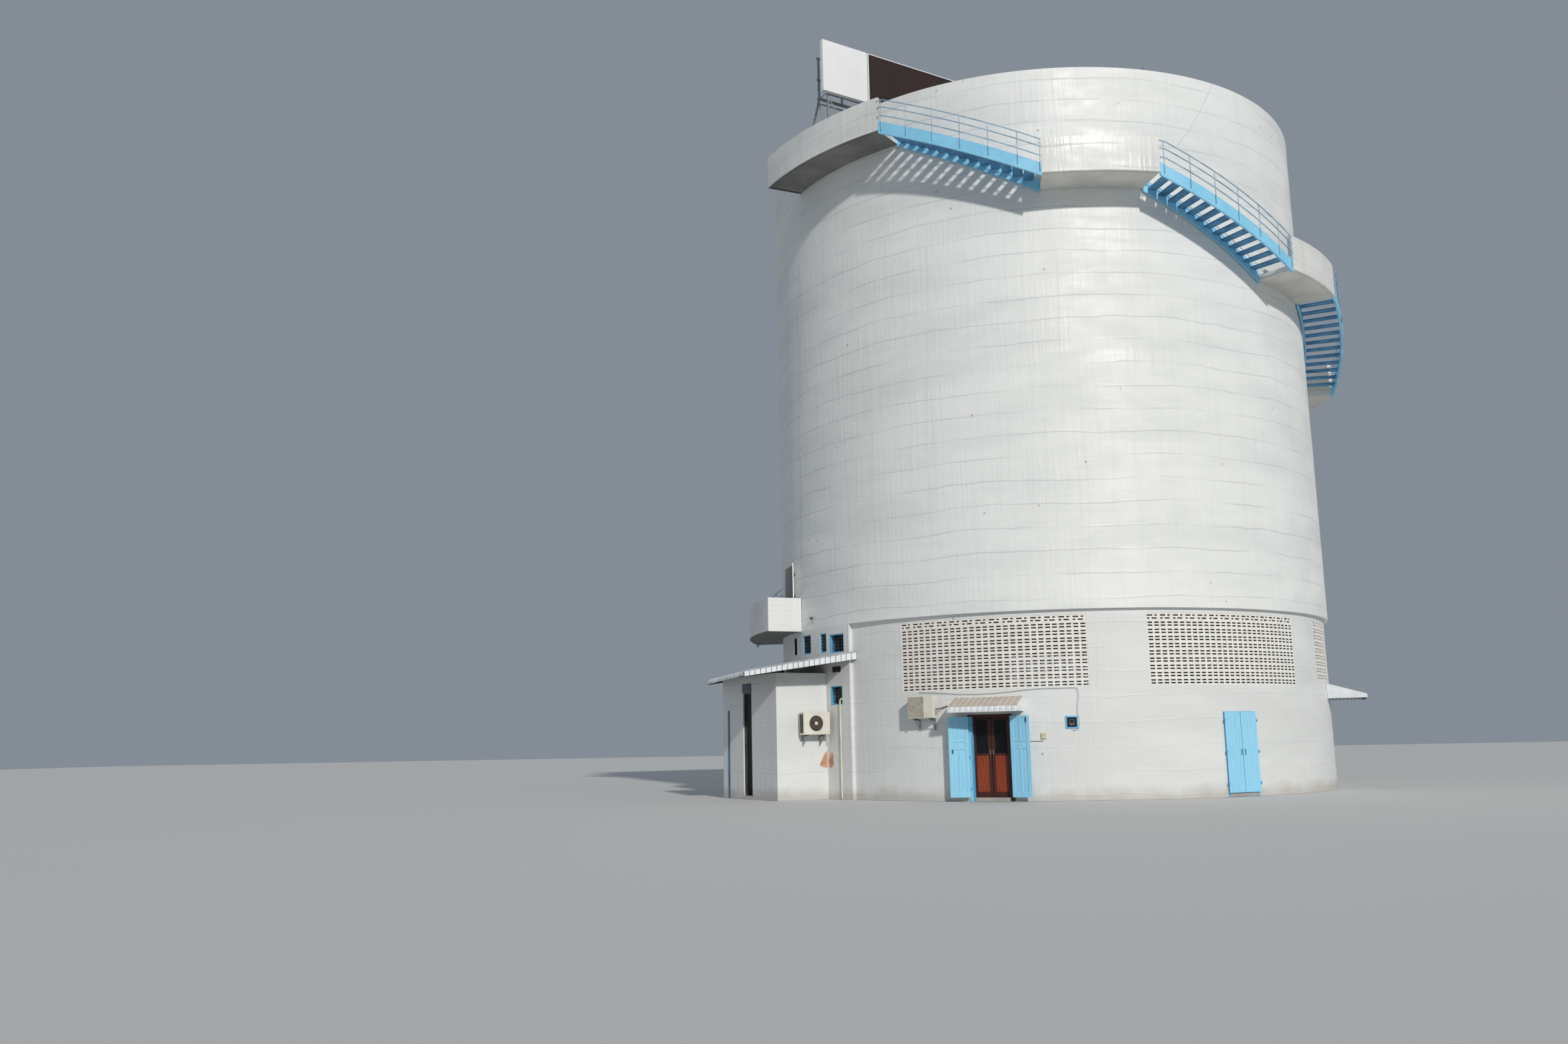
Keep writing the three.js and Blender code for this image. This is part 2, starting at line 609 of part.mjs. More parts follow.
addPart('annex_walls', cut(
  wallBlock(ANNEX_FAR, ANNEX_NEAR, 6000, ANNEX_OUT, 0, ANNEX_TOP),
  wallBlock(ANNEX_FAR + ANNEX_WALL, ANNEX_NEAR - ANNEX_WALL, 5000, ANNEX_OUT - ANNEX_WALL, GROUND_FLOOR,
    ANNEX_TOP + 10),
  wallBlock(...ANNEX_DOOR, ANNEX_OUT - 300, ANNEX_OUT + 300, GROUND_FLOOR, ANNEX_DOOR_HEAD),
  drumInAnnexFrame), 'wall', annex);

function annexRoof() {
  const sheet = 40;
  const eaveFascia = 172;
  const backFascia = 265;
  const lip = 150;
  const back = 6500;
  const rise = (reach) => ROOF_EAVE_TOP + (ROOF_EAVE - reach) * ROOF_SLOPE;
  const cover = wallProfile(profile([back, rise(back)], [ROOF_EAVE, ROOF_EAVE_TOP],
    [ROOF_EAVE, ROOF_EAVE_TOP - lip], [ROOF_EAVE - sheet, ROOF_EAVE_TOP - lip],
    [ROOF_EAVE - sheet, rise(ROOF_EAVE - sheet) - sheet], [back, rise(back) - sheet]), ROOF_FAR, ROOF_NEAR);
  const verge = (x0, x1) => wallProfile(profile([back, rise(back)], [ROOF_EAVE, ROOF_EAVE_TOP],
    [ROOF_EAVE, ROOF_EAVE_TOP - eaveFascia], [back, rise(back) - backFascia]), x0, x1);
  const serviceWall = arcBlock(BASE_RADIUS - WALL, DRUM_RADIUS + GAP, SERVICE_FROM, SERVICE_TO + SEAM, 0, LIP);
  return cut(join(cover, verge(ROOF_FAR, ROOF_FAR + sheet), verge(ROOF_NEAR - sheet, ROOF_NEAR)),
    disc(BASE_RADIUS + GAP, 0, LIP).rotateZ(radians(-ROOF_AZIMUTH)),
    serviceWall.rotateZ(radians(-ROOF_AZIMUTH)));
}

addPart('annex_roof', annexRoof(), 'roofing', turnedGroup(ROOF_AZIMUTH));

// Air conditioners on brackets: a body, and two arms that reach back to the wall
function outdoorUnit(bodyX, bodyY, bodyZ, wallY) {
  const [x0, x1] = bodyX;
  const [y0, y1] = bodyY;
  const [z0, z1] = bodyZ;
  const arms = [x0 + 140, x1 - 180].map((x) => join(
    block(x, x + 40, y0 + 20, wallY - GAP, z0 - 40, z0 + 2),
    block(x, x + 40, wallY - 40, wallY - GAP, z0 - 300, z0)));
  return join(block(x0, x1, y0, y1, z0, z1), ...arms);
}

const FIRST_UNIT_AZIMUTH = -22.5;
const firstUnitWall = -BASE_RADIUS * Math.cos(radians(FACET / 2));
addPart('outdoor_unit_right',
  outdoorUnit([-400, 400], [firstUnitWall - 400, firstUnitWall - 110], [2215, 2845], firstUnitWall),
  'appliance', turnedGroup(FIRST_UNIT_AZIMUTH));

// The second unit hangs on the annex's near wall, which faces along its frame's x
const secondUnit = new THREE.Group();
secondUnit.rotation.z = radians(90);
secondUnit.position.set(ANNEX_NEAR, 0, 0);
annex.add(secondUnit);
addPart('outdoor_unit_left', outdoorUnit([-9720, -8840], [-390, -100], [1845, 2520], 0), 'appliance', secondUnit);

// Roof sign: boards like shallow trays on a steel frame that stands on the roof deck. The frame is made of
// flat grids, bolted together: upright ones in front and behind, a level one and a sloping one between them.
const SIGN_AZIMUTH = 43.2;
const SIGN_FROM = -7830;
const SIGN_TO = 170;
const SIGN_PALE_TO = -6026;
const SIGN_BOARD_GAP = 40;
const SIGN_BOTTOM = 22920;
const SIGN_TOP = 24740;
const SIGN_FRONT = 800;
const SIGN_BACK = 950;
const SIGN_SHEET = 15;
const SIGN_RIM = 30;
const SIGN_POST = 60;
const SIGN_BAR = 36;
const SIGN_INSET = 285;
const SIGN_BAYS = 4;
const SIGN_OVERHANG = 90;
const REAR_POST = 1500;
const REAR_POST_TOP = SIGN_TOP - 250;
const REAR_FOOT = 3050;
const LOW_RAIL = 21000;
const TIE_HEIGHT = SIGN_BOTTOM + 60;

const SIGN_FIRST = SIGN_FROM + SIGN_INSET;
const SIGN_LAST = SIGN_TO - SIGN_INSET;
const SIGN_STEP = (SIGN_LAST - SIGN_FIRST) / SIGN_BAYS;
const TRUSSES = Array.from({ length: SIGN_BAYS + 1 }, (_, k) => SIGN_FIRST + k * SIGN_STEP);

// A square bar between two points of the sign's frame
function bar(from, to, width) {
  const start = new THREE.Vector3(...from);
  const end = new THREE.Vector3(...to);
  const along = end.clone().sub(start);
  const turn = new THREE.Quaternion().setFromUnitVectors(new THREE.Vector3(0, 0, 1), along.clone().normalize());
  const middle = start.add(end).multiplyScalar(0.5);
  return new THREE.BoxGeometry(width, width, along.length()).applyQuaternion(turn)
    .translate(middle.x, middle.y, middle.z);
}

// A bar along the whole sign, its middle at y and z
function rail(y, z, overhang = 0) {
  return bar([SIGN_FIRST - overhang, y, z], [SIGN_LAST + overhang, y, z], SIGN_BAR);
}

function uprightPost(x, y, z0, z1) {
  const half = SIGN_POST / 2;
  return block(x - half, x + half, y - half, y + half, z0, z1);
}

// How far back the rear legs stand at a height
function legAt(z) {
  return REAR_POST + ((SIGN_BOTTOM - z) / (SIGN_BOTTOM - DECK)) * (REAR_FOOT - REAR_POST);
}

function frontFrame() {
  const y = SIGN_BACK + SIGN_POST / 2;
  return join(
    ...TRUSSES.map((x) => uprightPost(x, y, DECK, SIGN_TOP - 20)),
    ...[SIGN_BOTTOM, 23800, SIGN_TOP - 120].map((z) => rail(y, z)),
    ...TRUSSES.slice(1).map((x) => bar([x - SIGN_STEP, y, SIGN_BOTTOM - 40], [x, y, DECK + 60], SIGN_BAR)));
}

function rearFrame() {
  const half = SIGN_POST / 2;
  const leg = (x) => wallProfile(profile([half - REAR_POST, SIGN_BOTTOM + half], [half - REAR_POST, SIGN_BOTTOM],
    [half - REAR_FOOT, DECK], [-half - REAR_FOOT, DECK], [-half - REAR_POST, SIGN_BOTTOM],
    [-half - REAR_POST, SIGN_BOTTOM + half]), x - half, x + half);
  return join(
    ...TRUSSES.map((x) => leg(x)),
    ...TRUSSES.map((x) => uprightPost(x, REAR_POST, SIGN_BOTTOM, REAR_POST_TOP)),
    ...TRUSSES.slice(1).map((x) => uprightPost(x - SIGN_STEP / 2, REAR_POST, SIGN_BOTTOM, REAR_POST_TOP)),
    ...[SIGN_BOTTOM + 30, 23650, REAR_POST_TOP - 60].map((z) => rail(REAR_POST, z, SIGN_OVERHANG)),
    rail(legAt(LOW_RAIL), LOW_RAIL));
}

// Rails against the front and rear frames, with a tie or brace at each truss
function tieFrame(front, rear) {
  return join(rail(...front), rail(...rear),
    ...TRUSSES.map((x) => bar([x, front[0], front[1]], [x, rear[0], rear[1]], SIGN_BAR)));
}

const frontTie = SIGN_BACK + SIGN_POST + GAP + SIGN_BAR / 2;
const rearTie = (z) => legAt(z) - SIGN_POST / 2 - GAP - SIGN_BAR / 2;
const braceTop = SIGN_BOTTOM - 120;
const sign = turnedGroup(SIGN_AZIMUTH);
addPart('sign_front_frame', frontFrame(), 'metal', sign);
addPart('sign_rear_frame', rearFrame(), 'metal', sign);
addPart('sign_middle_ties', tieFrame([frontTie, TIE_HEIGHT], [rearTie(SIGN_BOTTOM), TIE_HEIGHT]), 'metal', sign);
addPart('sign_braces', tieFrame([frontTie, LOW_RAIL], [rearTie(braceTop + SIGN_BAR / 2), braceTop]), 'metal', sign);

function signBoard(x0, x1) {
  return cut(block(x0, x1, SIGN_FRONT, SIGN_BACK - GAP, SIGN_BOTTOM, SIGN_TOP),
    block(x0 + SIGN_RIM, x1 - SIGN_RIM, SIGN_FRONT + SIGN_SHEET, SIGN_BACK + 10, SIGN_BOTTOM + SIGN_RIM,
      SIGN_TOP - SIGN_RIM));
}

addPart('sign_pale_board', signBoard(SIGN_FROM, SIGN_PALE_TO), 'pale_board', sign);
addPart('sign_dark_board', signBoard(SIGN_PALE_TO + SIGN_BOARD_GAP, SIGN_TO), 'dark_board', sign);

export default tower;
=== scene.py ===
import math

import bpy
import bmesh
from mathutils import Matrix, Vector, noise


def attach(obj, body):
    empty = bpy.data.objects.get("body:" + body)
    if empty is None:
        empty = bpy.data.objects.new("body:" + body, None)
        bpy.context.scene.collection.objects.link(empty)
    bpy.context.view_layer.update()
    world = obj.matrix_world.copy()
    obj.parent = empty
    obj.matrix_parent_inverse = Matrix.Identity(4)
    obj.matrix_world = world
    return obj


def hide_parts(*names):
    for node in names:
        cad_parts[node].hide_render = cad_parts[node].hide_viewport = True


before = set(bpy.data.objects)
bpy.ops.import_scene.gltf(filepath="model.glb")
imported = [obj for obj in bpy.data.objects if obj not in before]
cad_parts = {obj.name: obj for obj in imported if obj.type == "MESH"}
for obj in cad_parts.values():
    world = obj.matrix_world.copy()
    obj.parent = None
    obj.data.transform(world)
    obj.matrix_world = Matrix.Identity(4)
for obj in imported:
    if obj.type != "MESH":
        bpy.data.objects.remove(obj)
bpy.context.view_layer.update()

# Metres throughout. Azimuths are degrees from -Y towards +X, as in the solids.
DRUM, BASE, WALL = 8.75, 8.62, 0.25
LIP, RIM, DECK = 5.05, 20.67, 19.75
GROUND_FLOOR, FIRST_FLOOR, TOP_FLOOR = 0.1, 5.2, 19.31
GAP = 0.0003
LIFTS = 24
LIFT = (RIM - LIP) / LIFTS
WALL_STEP = 1.5
ALONG, INWARD, UP = (1, 0, 0), (0, 1, 0), (0, 0, 1)
SHARP_ANGLE = math.radians(35)

# Screens, and the service wall with its windows: azimuth, half width, sill and head
BAY_FIRST, BAY_PITCH = -10.1, 45.75
SCREEN_HALF, SCREEN_BOTTOM, SCREEN_TOP = 17.45, 2.98, 4.91
SIDE_BAY, SIDE_SCREEN_BOTTOM = 2, 3.175
SCREEN_INNER, SCREEN_OUTER, PAINTED_FROM = 8.45, 8.612, 8.6
BLOCK_COLUMNS, BLOCK_HEIGHT = 28, 0.193
SLOT_SIDES, SLOT_BANDS = (0.15, 0.85), ((0.2, 0.39), (0.61, 0.8))
SLOT_WIDE, SLOT_LOW, SLOT_HIGH = (0.12, 0.88), (0.15, 0.44), (0.56, 0.85)
TOP_UPPER_SLOTS, TOP_LOWER_SLOTS = ((0.05, 0.47), (0.62, 0.82)), ((0.05, 0.25), (0.4, 0.79))
SERVICE_FROM, SERVICE_TO = -112.0, -40.0
SERVICE_WINDOWS = [(-43.7, 0.335, 4.24, 4.79), (-48.3, 0.175, 4.29, 4.86), (-55.1, 0.28, 4.31, 4.89),
                   (-61.45, 0.14, 4.35, 4.88), (-44.2, 0.29, 2.72, 3.27)]
DARK_WINDOW, SHALLOW_WINDOWS = 3, (1, 2)

# Stair
STAIR_OUTER, LOW_LANDING_OUTER, SLAB_INNER = 9.9, 9.85, DRUM + GAP
STRINGER_INNER, STRINGER = 8.765, 0.06
STRINGER_ABOVE, STRINGER_DEPTH = 0.13, 0.38
PARAPET, PARAPET_HEIGHT, LANDING_SLAB = 0.12, 1.04, 0.16
RISERS = [14, 14, 13, 13, 13, 12, 12]
TREAD_PITCH, TREAD_THICKNESS = 1.943, 0.045
TREAD_SHARE, STRINGER_STEP = 0.92, 0.98
RAIL_HEIGHTS = [0.21, 0.48, 0.7]
RAIL_RADIUS, RAIL_THICK, POST_THICK = STAIR_OUTER + 0.026, 0.0165, 0.012
TOP_BALCONY, LOW_LANDING, LANDING_A_TO = (-53.5, -23.9), (269.2, 302.4), 22.4
POST_SPACING, POST_FIRST, LEVEL_END = 4.56, 0.7, 0.7
RISE = (TOP_FLOOR - FIRST_FLOOR) / sum(RISERS)
REAR_LANDING = (LOW_LANDING[0] - LANDING_A_TO - sum(RISERS[1:]) * TREAD_PITCH) / 5
LANDINGS = ["landing_front", "landing_right", "landing_rear_right", "landing_rear", "landing_rear_left",
            "landing_left"]

# Doors. An axis is its place along the wall and its reach.
ENTRANCE, SERVICE_DOOR, SIDE_DOOR = -10.6, 35.75, 80.0
DOOR_HALF, DOOR_HEAD = 0.53, 2.26
UPPER_DOOR = (-66.15, 0.595, FIRST_FLOOR, 7.22)
OUTER_AXIS, INNER_AXIS = (0.562, 8.685), (0.466, 8.428)
HINGE_HEIGHTS = [0.35, 1.18, 2.01]
LEAF_FACET, FACET_REACH = -62.5, math.cos(math.radians(2.5))

# Annex and its roof
ANNEX, ANNEX_OUT, ANNEX_NEAR = -51.0, 10.41, 0.52
ROOF, ROOF_NEAR, ROOF_FAR = -64.0, 3.71, -1.34
ROOF_EAVE, ROOF_EAVE_TOP, ROOF_SLOPE = 11.22, 3.69, 0.163
RIB_PITCH, VERGE_PANEL = 0.25, 0.16

# Roof sign
SIGN, SIGN_FROM, SIGN_TO, SIGN_PALE_TO = 43.2, -7.83, 0.17, -6.026
SIGN_BOTTOM, SIGN_TOP, SIGN_FRONT, SIGN_BACK = 22.92, 24.74, 0.8, 0.95
SIGN_POST, SIGN_BAR = 0.06, 0.036
SIGN_REAR_POST, SIGN_REAR_TOP, SIGN_REAR_FOOT = 1.5, 24.49, 3.05
SIGN_LOW_RAIL, SIGN_TIE = 21.0, 22.98
SIGN_TRUSSES = [-7.545 + index * 1.8575 for index in range(5)]

# Camera and light
FOCAL_PIXELS, PHOTO_WIDTH, SENSOR_WIDTH = 1958.54, 2355, 36.0
CAMERA_PLACE, PITCH, YAW, ROLL = (0.0, -44.42, 1.6), 0.1690, 0.1958, -0.0187
SUN_AZIMUTH, SUN_HEIGHT = 27.8, 26.5
FLOOR_HALF, FLOOR_LEVEL = 160, -0.004


def turn(azimuth):
    """The frame turned to an azimuth: x along the wall, y towards the axis."""
    return Matrix.Rotation(math.radians(azimuth), 4, "Z")


def polar(radius, azimuth, z=0.0):
    angle = math.radians(azimuth)
    return Vector((radius * math.sin(angle), -radius * math.cos(angle), z))


def circle(centre, first, second, radius, sides):
    """Points round a centre, in the plane of two directions."""
    return [centre + (first * math.cos(turned) + second * math.sin(turned)) * radius
            for turned in (2 * math.pi * side / sides for side in range(sides))]


def across(axis):
    """A direction square to an axis."""
    return axis.cross(Vector(UP if abs(axis.z) < 0.9 else ALONG)).normalized()


# Materials. Colours are as read on a screen, 0 to 255.

PAINTS = {}


def linear(colour):
    """A screen colour as the linear values that a shader takes."""
    return tuple(part / 12.92 if part <= 0.04045 else ((part + 0.055) / 1.055) ** 2.4
                 for part in (value / 255 for value in colour))


class Paint:
    """A node material, with short ways to add the textures that it needs."""

    def __init__(self, name):
        self.material = bpy.data.materials.new(name)
        self.material.use_nodes = True
        self.tree = self.material.node_tree
        self.tree.nodes.clear()
        output = self.tree.nodes.new("ShaderNodeOutputMaterial")
        self.shader = self.tree.nodes.new("ShaderNodeBsdfPrincipled")
        self.tree.links.new(self.shader.outputs["BSDF"], output.inputs["Surface"])
        self.place = self.node("TexCoord", "Object", {})
        PAINTS[name] = self.material

    def fill(self, socket, value):
        """Gives a socket a number, a colour or another node's output."""
        if isinstance(value, bpy.types.NodeSocket):
            self.tree.links.new(value, socket)
        elif socket.type == "RGBA":
            socket.default_value = (*linear(value), 1.0)
        else:
            socket.default_value = value

    def node(self, kind, output, inputs, **settings):
        node = self.tree.nodes.new("ShaderNode" + kind)
        for name, value in settings.items():
            setattr(node, name, value)
        for name, value in inputs.items():
            self.fill(node.inputs[name], value)
        return node.outputs[output]

    def scaled(self, scale):
        scale = scale if isinstance(scale, tuple) else (scale, scale, scale)
        return self.node("Mapping", "Vector", {"Vector": self.place, "Scale": scale})

    def noise(self, scale, detail=3.0, roughness=0.5, distortion=0.0):
        return self.node("TexNoise", "Fac", {"Vector": self.scaled(scale), "Scale": 1.0, "Detail": detail,
                                             "Roughness": roughness, "Distortion": distortion})

    def cells(self, scale):
        return self.node("TexVoronoi", "Distance", {"Vector": self.scaled(scale), "Scale": 1.0})

    def height(self):
        return self.node("SeparateXYZ", "Z", {"Vector": self.place})

    def math(self, operation, first, second=0.5):
        return self.node("Math", "Value", {0: first, 1: second}, operation=operation)

    def times(self, first, second):
        return self.math("MULTIPLY", first, second)

    def plus(self, first, second):
        return self.math("ADD", first, second)

    def spread(self, value, low, high, to_low=0.0, to_high=1.0):
        return self.node("MapRange", "Result", {"Value": value, "From Min": low, "From Max": high,
                                                "To Min": to_low, "To Max": to_high},
                         interpolation_type="SMOOTHSTEP")

    def fall(self, value, low, high):
        """One up to low, and nothing past high."""
        return self.math("SUBTRACT", 1.0, self.spread(value, low, high))

    def lines(self, height, pitch, width):
        """Level lines at a pitch."""
        share = self.math("FRACT", self.math("DIVIDE", height, pitch))
        return self.fall(self.math("ABSOLUTE", self.math("SUBTRACT", share, 0.5)), 0.0, width)

    def mix(self, factor, first, second):
        return self.node("Mix", 2, {0: factor, 6: first, 7: second}, data_type="RGBA")

    def over(self, colour, share, strength, other):
        """Another colour laid over parts of a colour."""
        return self.mix(self.times(share, strength), colour, other)

    def finish(self, colour, roughness, bump=None, height=0.01, strength=1.0, metal=0.0):
        for name, value in (("Base Color", colour), ("Roughness", roughness), ("Metallic", metal)):
            self.fill(self.shader.inputs[name], value)
        if bump is not None:
            self.fill(self.shader.inputs["Normal"], self.node("Bump", "Normal", {
                "Strength": strength, "Distance": height, "Height": bump}))


def masonry_paint(name, light, dark, line_share, streak_share, dirt_from, gloss):
    """White paint on concrete: lift lines, lumpy bands, runs, small stains and dirt near the ground."""
    paint = Paint(name)
    height = paint.height()
    ripple = paint.times(paint.noise((1.9, 1.9, 0.7), 2.0), 0.06)
    lifted = paint.plus(paint.plus(height, paint.times(paint.noise(0.35, 2.0), 0.3)), ripple)
    line = paint.times(paint.lines(lifted, 0.6517, 0.055),
                       paint.spread(paint.noise((0.5, 0.5, 1.7)), 0.28, 0.6))
    patches = paint.spread(paint.noise((0.28, 0.28, 0.9), 4.0, 0.6), 0.35, 0.7)
    runs = paint.spread(paint.noise((5.5, 5.5, 0.22), 4.0, 0.65), 0.48, 0.78)
    dirt = paint.fall(paint.plus(height, paint.times(paint.noise(1.3, 4.0), dirt_from)),
                      dirt_from * 0.5, dirt_from * 1.3)
    colour = light
    for share, strength, other in (
            (patches, 0.55, dark), (runs, streak_share, dark), (line, line_share, (164, 168, 168)),
            (paint.fall(paint.cells(1.1), 0.02, 0.05), 0.6, (110, 104, 96)), (dirt, 0.5, (158, 148, 132))):
        colour = paint.over(colour, share, strength, other)
    bump = paint.times(paint.noise((0.45, 0.45, 3.2), 3.0, 0.5, 0.3), 0.6)
    for texture, share in ((paint.noise((9.0, 9.0, 0.55), 4.0, 0.6), 0.75), (paint.noise(14.0), 0.07),
                           (line, 0.3)):
        bump = paint.plus(bump, paint.times(texture, share))
    rough = paint.spread(paint.noise((0.6, 0.6, 1.4)), 0.3, 0.7, gloss, gloss + 0.22)
    paint.finish(colour, rough, bump, 0.03, 0.55)


def plain_paint(name, light, dark, rough, scale=3.0, bump_height=0.002, metal=0.0, worn=None):
    """A painted or bare surface with soft blotches, fine grain and, if asked, worn spots."""
    paint = Paint(name)
    blotches = paint.spread(paint.noise(scale, 5.0, 0.6), 0.32, 0.72)
    colour = paint.mix(blotches, light, dark)
    if worn is not None:
        colour = paint.over(colour, paint.spread(paint.noise(scale * 5, 6.0, 0.7), 0.66, 0.72), 0.7, worn)
    roughness = paint.spread(blotches, 0.0, 1.0, rough, min(1.0, rough + 0.14))
    paint.finish(colour, roughness, paint.noise(scale * 22), bump_height, 0.35, metal)


def board_paint(name, light, dark, rough):
    """Painted timber with an upright grain."""
    paint = Paint(name)
    grain = paint.noise((55.0, 55.0, 2.2), 4.0, 0.6)
    faded = paint.spread(paint.noise((1.5, 1.5, 1.0), 4.0), 0.4, 0.75)
    colour = paint.over(paint.mix(paint.spread(grain, 0.35, 0.75), light, dark), faded, 0.35, dark)
    paint.finish(colour, rough, grain, 0.002, 0.5)


def concrete(name, light, dark):
    paint = Paint(name)
    clouds = paint.spread(paint.noise(0.8, 6.0, 0.6), 0.3, 0.7)
    pits = paint.fall(paint.cells(9.0), 0.03, 0.09)
    colour = paint.over(paint.mix(clouds, light, dark), pits, 0.5, (95, 94, 90))
    paint.finish(colour, 0.86, paint.math("SUBTRACT", paint.noise(24.0, 4.0), pits), 0.006, 0.4)


def lined_paint(name, light, dark):
    """White paint over the marks of level boards."""
    paint = Paint(name)
    waver = paint.times(paint.noise((1.5, 1.5, 0.5), 2.0), 0.05)
    line = paint.lines(paint.plus(paint.height(), waver), 0.148, 0.05)
    runs = paint.spread(paint.noise((7.0, 7.0, 0.5), 4.0, 0.6), 0.45, 0.8)
    colour = paint.over(paint.over(light, runs, 0.6, dark), line, 0.2, (150, 150, 146))
    bump = paint.math("SUBTRACT", paint.noise((5.0, 5.0, 9.0)), paint.times(line, 0.6))
    paint.finish(colour, 0.5, bump, 0.004, 0.5)


def glass(name, light, dark):
    paint = Paint(name)
    film = paint.spread(paint.noise(2.0, 4.0), 0.3, 0.75)
    paint.shader.inputs["Specular IOR Level"].default_value = 0.25
    paint.finish(paint.mix(film, light, dark), paint.spread(film, 0.0, 1.0, 0.06, 0.2))


# Each paint's light and dark colour, then what its function takes
for kind, looks in (
        (masonry_paint, {
            "drum_paint": ((237, 239, 237), (215, 218, 217), 0.3, 0.34, 0.0001, 0.37),
            "base_paint": ((226, 228, 227), (211, 213, 212), 0.06, 0.16, 0.55, 0.42),
            "parapet_paint": ((230, 231, 229), (203, 205, 203), 0.2, 0.5, 0.0001, 0.3)}),
        (lined_paint, {"board_marked_paint": ((230, 231, 230), (208, 210, 209))}),
        (concrete, {
            # The soffits are one concrete in two lights: darker as painted shade under the top balcony and
            # the low landing, lighter as painted bounce light under the other landings
            "soffit_concrete": ((140, 140, 136), (112, 112, 108)),
            "white_soffit": ((232, 230, 223), (208, 206, 199)),
            "floor_concrete": ((186, 184, 178), (150, 148, 142))}),
        (board_paint, {
            "door_blue": ((158, 220, 247), (140, 206, 238), 0.5),
            "red_wood": ((162, 72, 44), (118, 48, 30), 0.42),
            "dark_wood": ((76, 31, 24), (50, 23, 19), 0.45)}),
        # Near-black glass: painted shade of the unlit rooms behind, with the shader's own reflections
        (glass, {"dark_glass": ((10, 11, 13), (22, 23, 26))}),
        (plain_paint, {
            "screen_paint": ((240, 239, 234), (224, 222, 215), 0.6, 6.0, 0.006),
            "clay": ((198, 104, 68), (150, 78, 52), 0.85, 5.0, 0.006),
            # Clay painted near black: painted shade in the slots of the second screen
            "dark_clay": ((58, 46, 41), (40, 33, 30), 0.85, 5.0, 0.006),
            "grey_clay": ((158, 140, 128), (122, 106, 96), 0.85, 5.0, 0.006),
            "stair_blue": ((148, 214, 246), (130, 200, 236), 0.4, 1.6, 0.002, 0.0, (150, 160, 166)),
            "tread_blue": ((98, 160, 204), (66, 112, 150), 0.55, 2.4, 0.004, 0.0, (84, 90, 96)),
            "rail_blue": ((170, 205, 226), (128, 156, 178), 0.42, 3.0, 0.001, 0.0, (110, 104, 100)),
            "frame_blue": ((110, 186, 226), (84, 160, 204), 0.5, 4.0, 0.002, 0.0, (170, 190, 200)),
            "cap_grey": ((172, 176, 180), (140, 144, 148), 0.5),
            # Dark sheet colour: painted shade on the awnings' undersides and in the gaps between the annex
            # roof's verge panels
            "sheet_back": ((84, 82, 76), (62, 60, 56), 0.7),
            "red_paint": ((140, 62, 48), (104, 46, 38), 0.6, 4.0),
            "transom_blue": ((98, 114, 126), (78, 94, 106), 0.5, 4.0),
            "beige_sheet": ((206, 194, 180), (188, 174, 158), 0.5, 2.5),
            "bright_sheet": ((224, 227, 229), (186, 191, 196), 0.28, 3.0, 0.002, 0.35),
            # Near-white sheet: partly its own white, partly painted highlight that makes the awnings' rounded
            # front edges and lips brighter than their slopes
            "lip_sheet": ((244, 246, 248), (218, 223, 228), 0.22, 3.0, 0.001, 0.12),
            # Dark brown: painted shade on the annex roof's underside and its purlins
            "roof_under": ((62, 50, 44), (46, 38, 34), 0.8),
            "roof_sheet": ((214, 218, 220), (176, 182, 186), 0.38, 1.4, 0.003, 0.15, (148, 140, 130)),
            "galvanised": ((176, 182, 186), (132, 138, 142), 0.45, 5.0, 0.002, 0.6, (128, 96, 74)),
            "cream_enamel": ((228, 224, 212), (212, 207, 192), 0.4, 2.0, 0.001),
            "peeled": ((212, 168, 140), (178, 124, 96), 0.85, 6.0, 0.004),
            # Dark brown: painted shade filling the fan opening, and the fan grille's own dark colour
            "fan_brown": ((84, 73, 67), (66, 57, 52), 0.55, 6.0, 0.001),
            # Blue darkened as painted shade on the annex's narrow strip
            "strip_blue": ((80, 120, 160), (62, 98, 138), 0.5, 3.0, 0.001),
            "grille_grey": ((196, 190, 178), (168, 162, 150), 0.5, 6.0, 0.001),
            "dark_grille": ((74, 72, 70), (48, 47, 46), 0.5, 6.0, 0.001),
            "black_iron": ((38, 38, 40), (24, 24, 26), 0.55, 8.0, 0.001),
            "brown_board": ((52, 33, 28), (38, 25, 22), 0.5, 1.2),
            "white_board": ((247, 248, 248), (238, 240, 241), 0.35, 0.9, 0.001),
            "deep_shade": ((22, 22, 24), (14, 14, 16), 0.9, 3.0, 0.001),
            "meter_grey": ((96, 98, 102), (70, 72, 76), 0.4, 8.0, 0.001),
            "box_cream": ((222, 212, 184), (204, 192, 162), 0.55, 6.0),
            "pipe_white": ((228, 226, 216), (210, 204, 180), 0.4, 3.0, 0.001)})):
    for name, values in looks.items():
        kind(name, *values)


# Building shapes

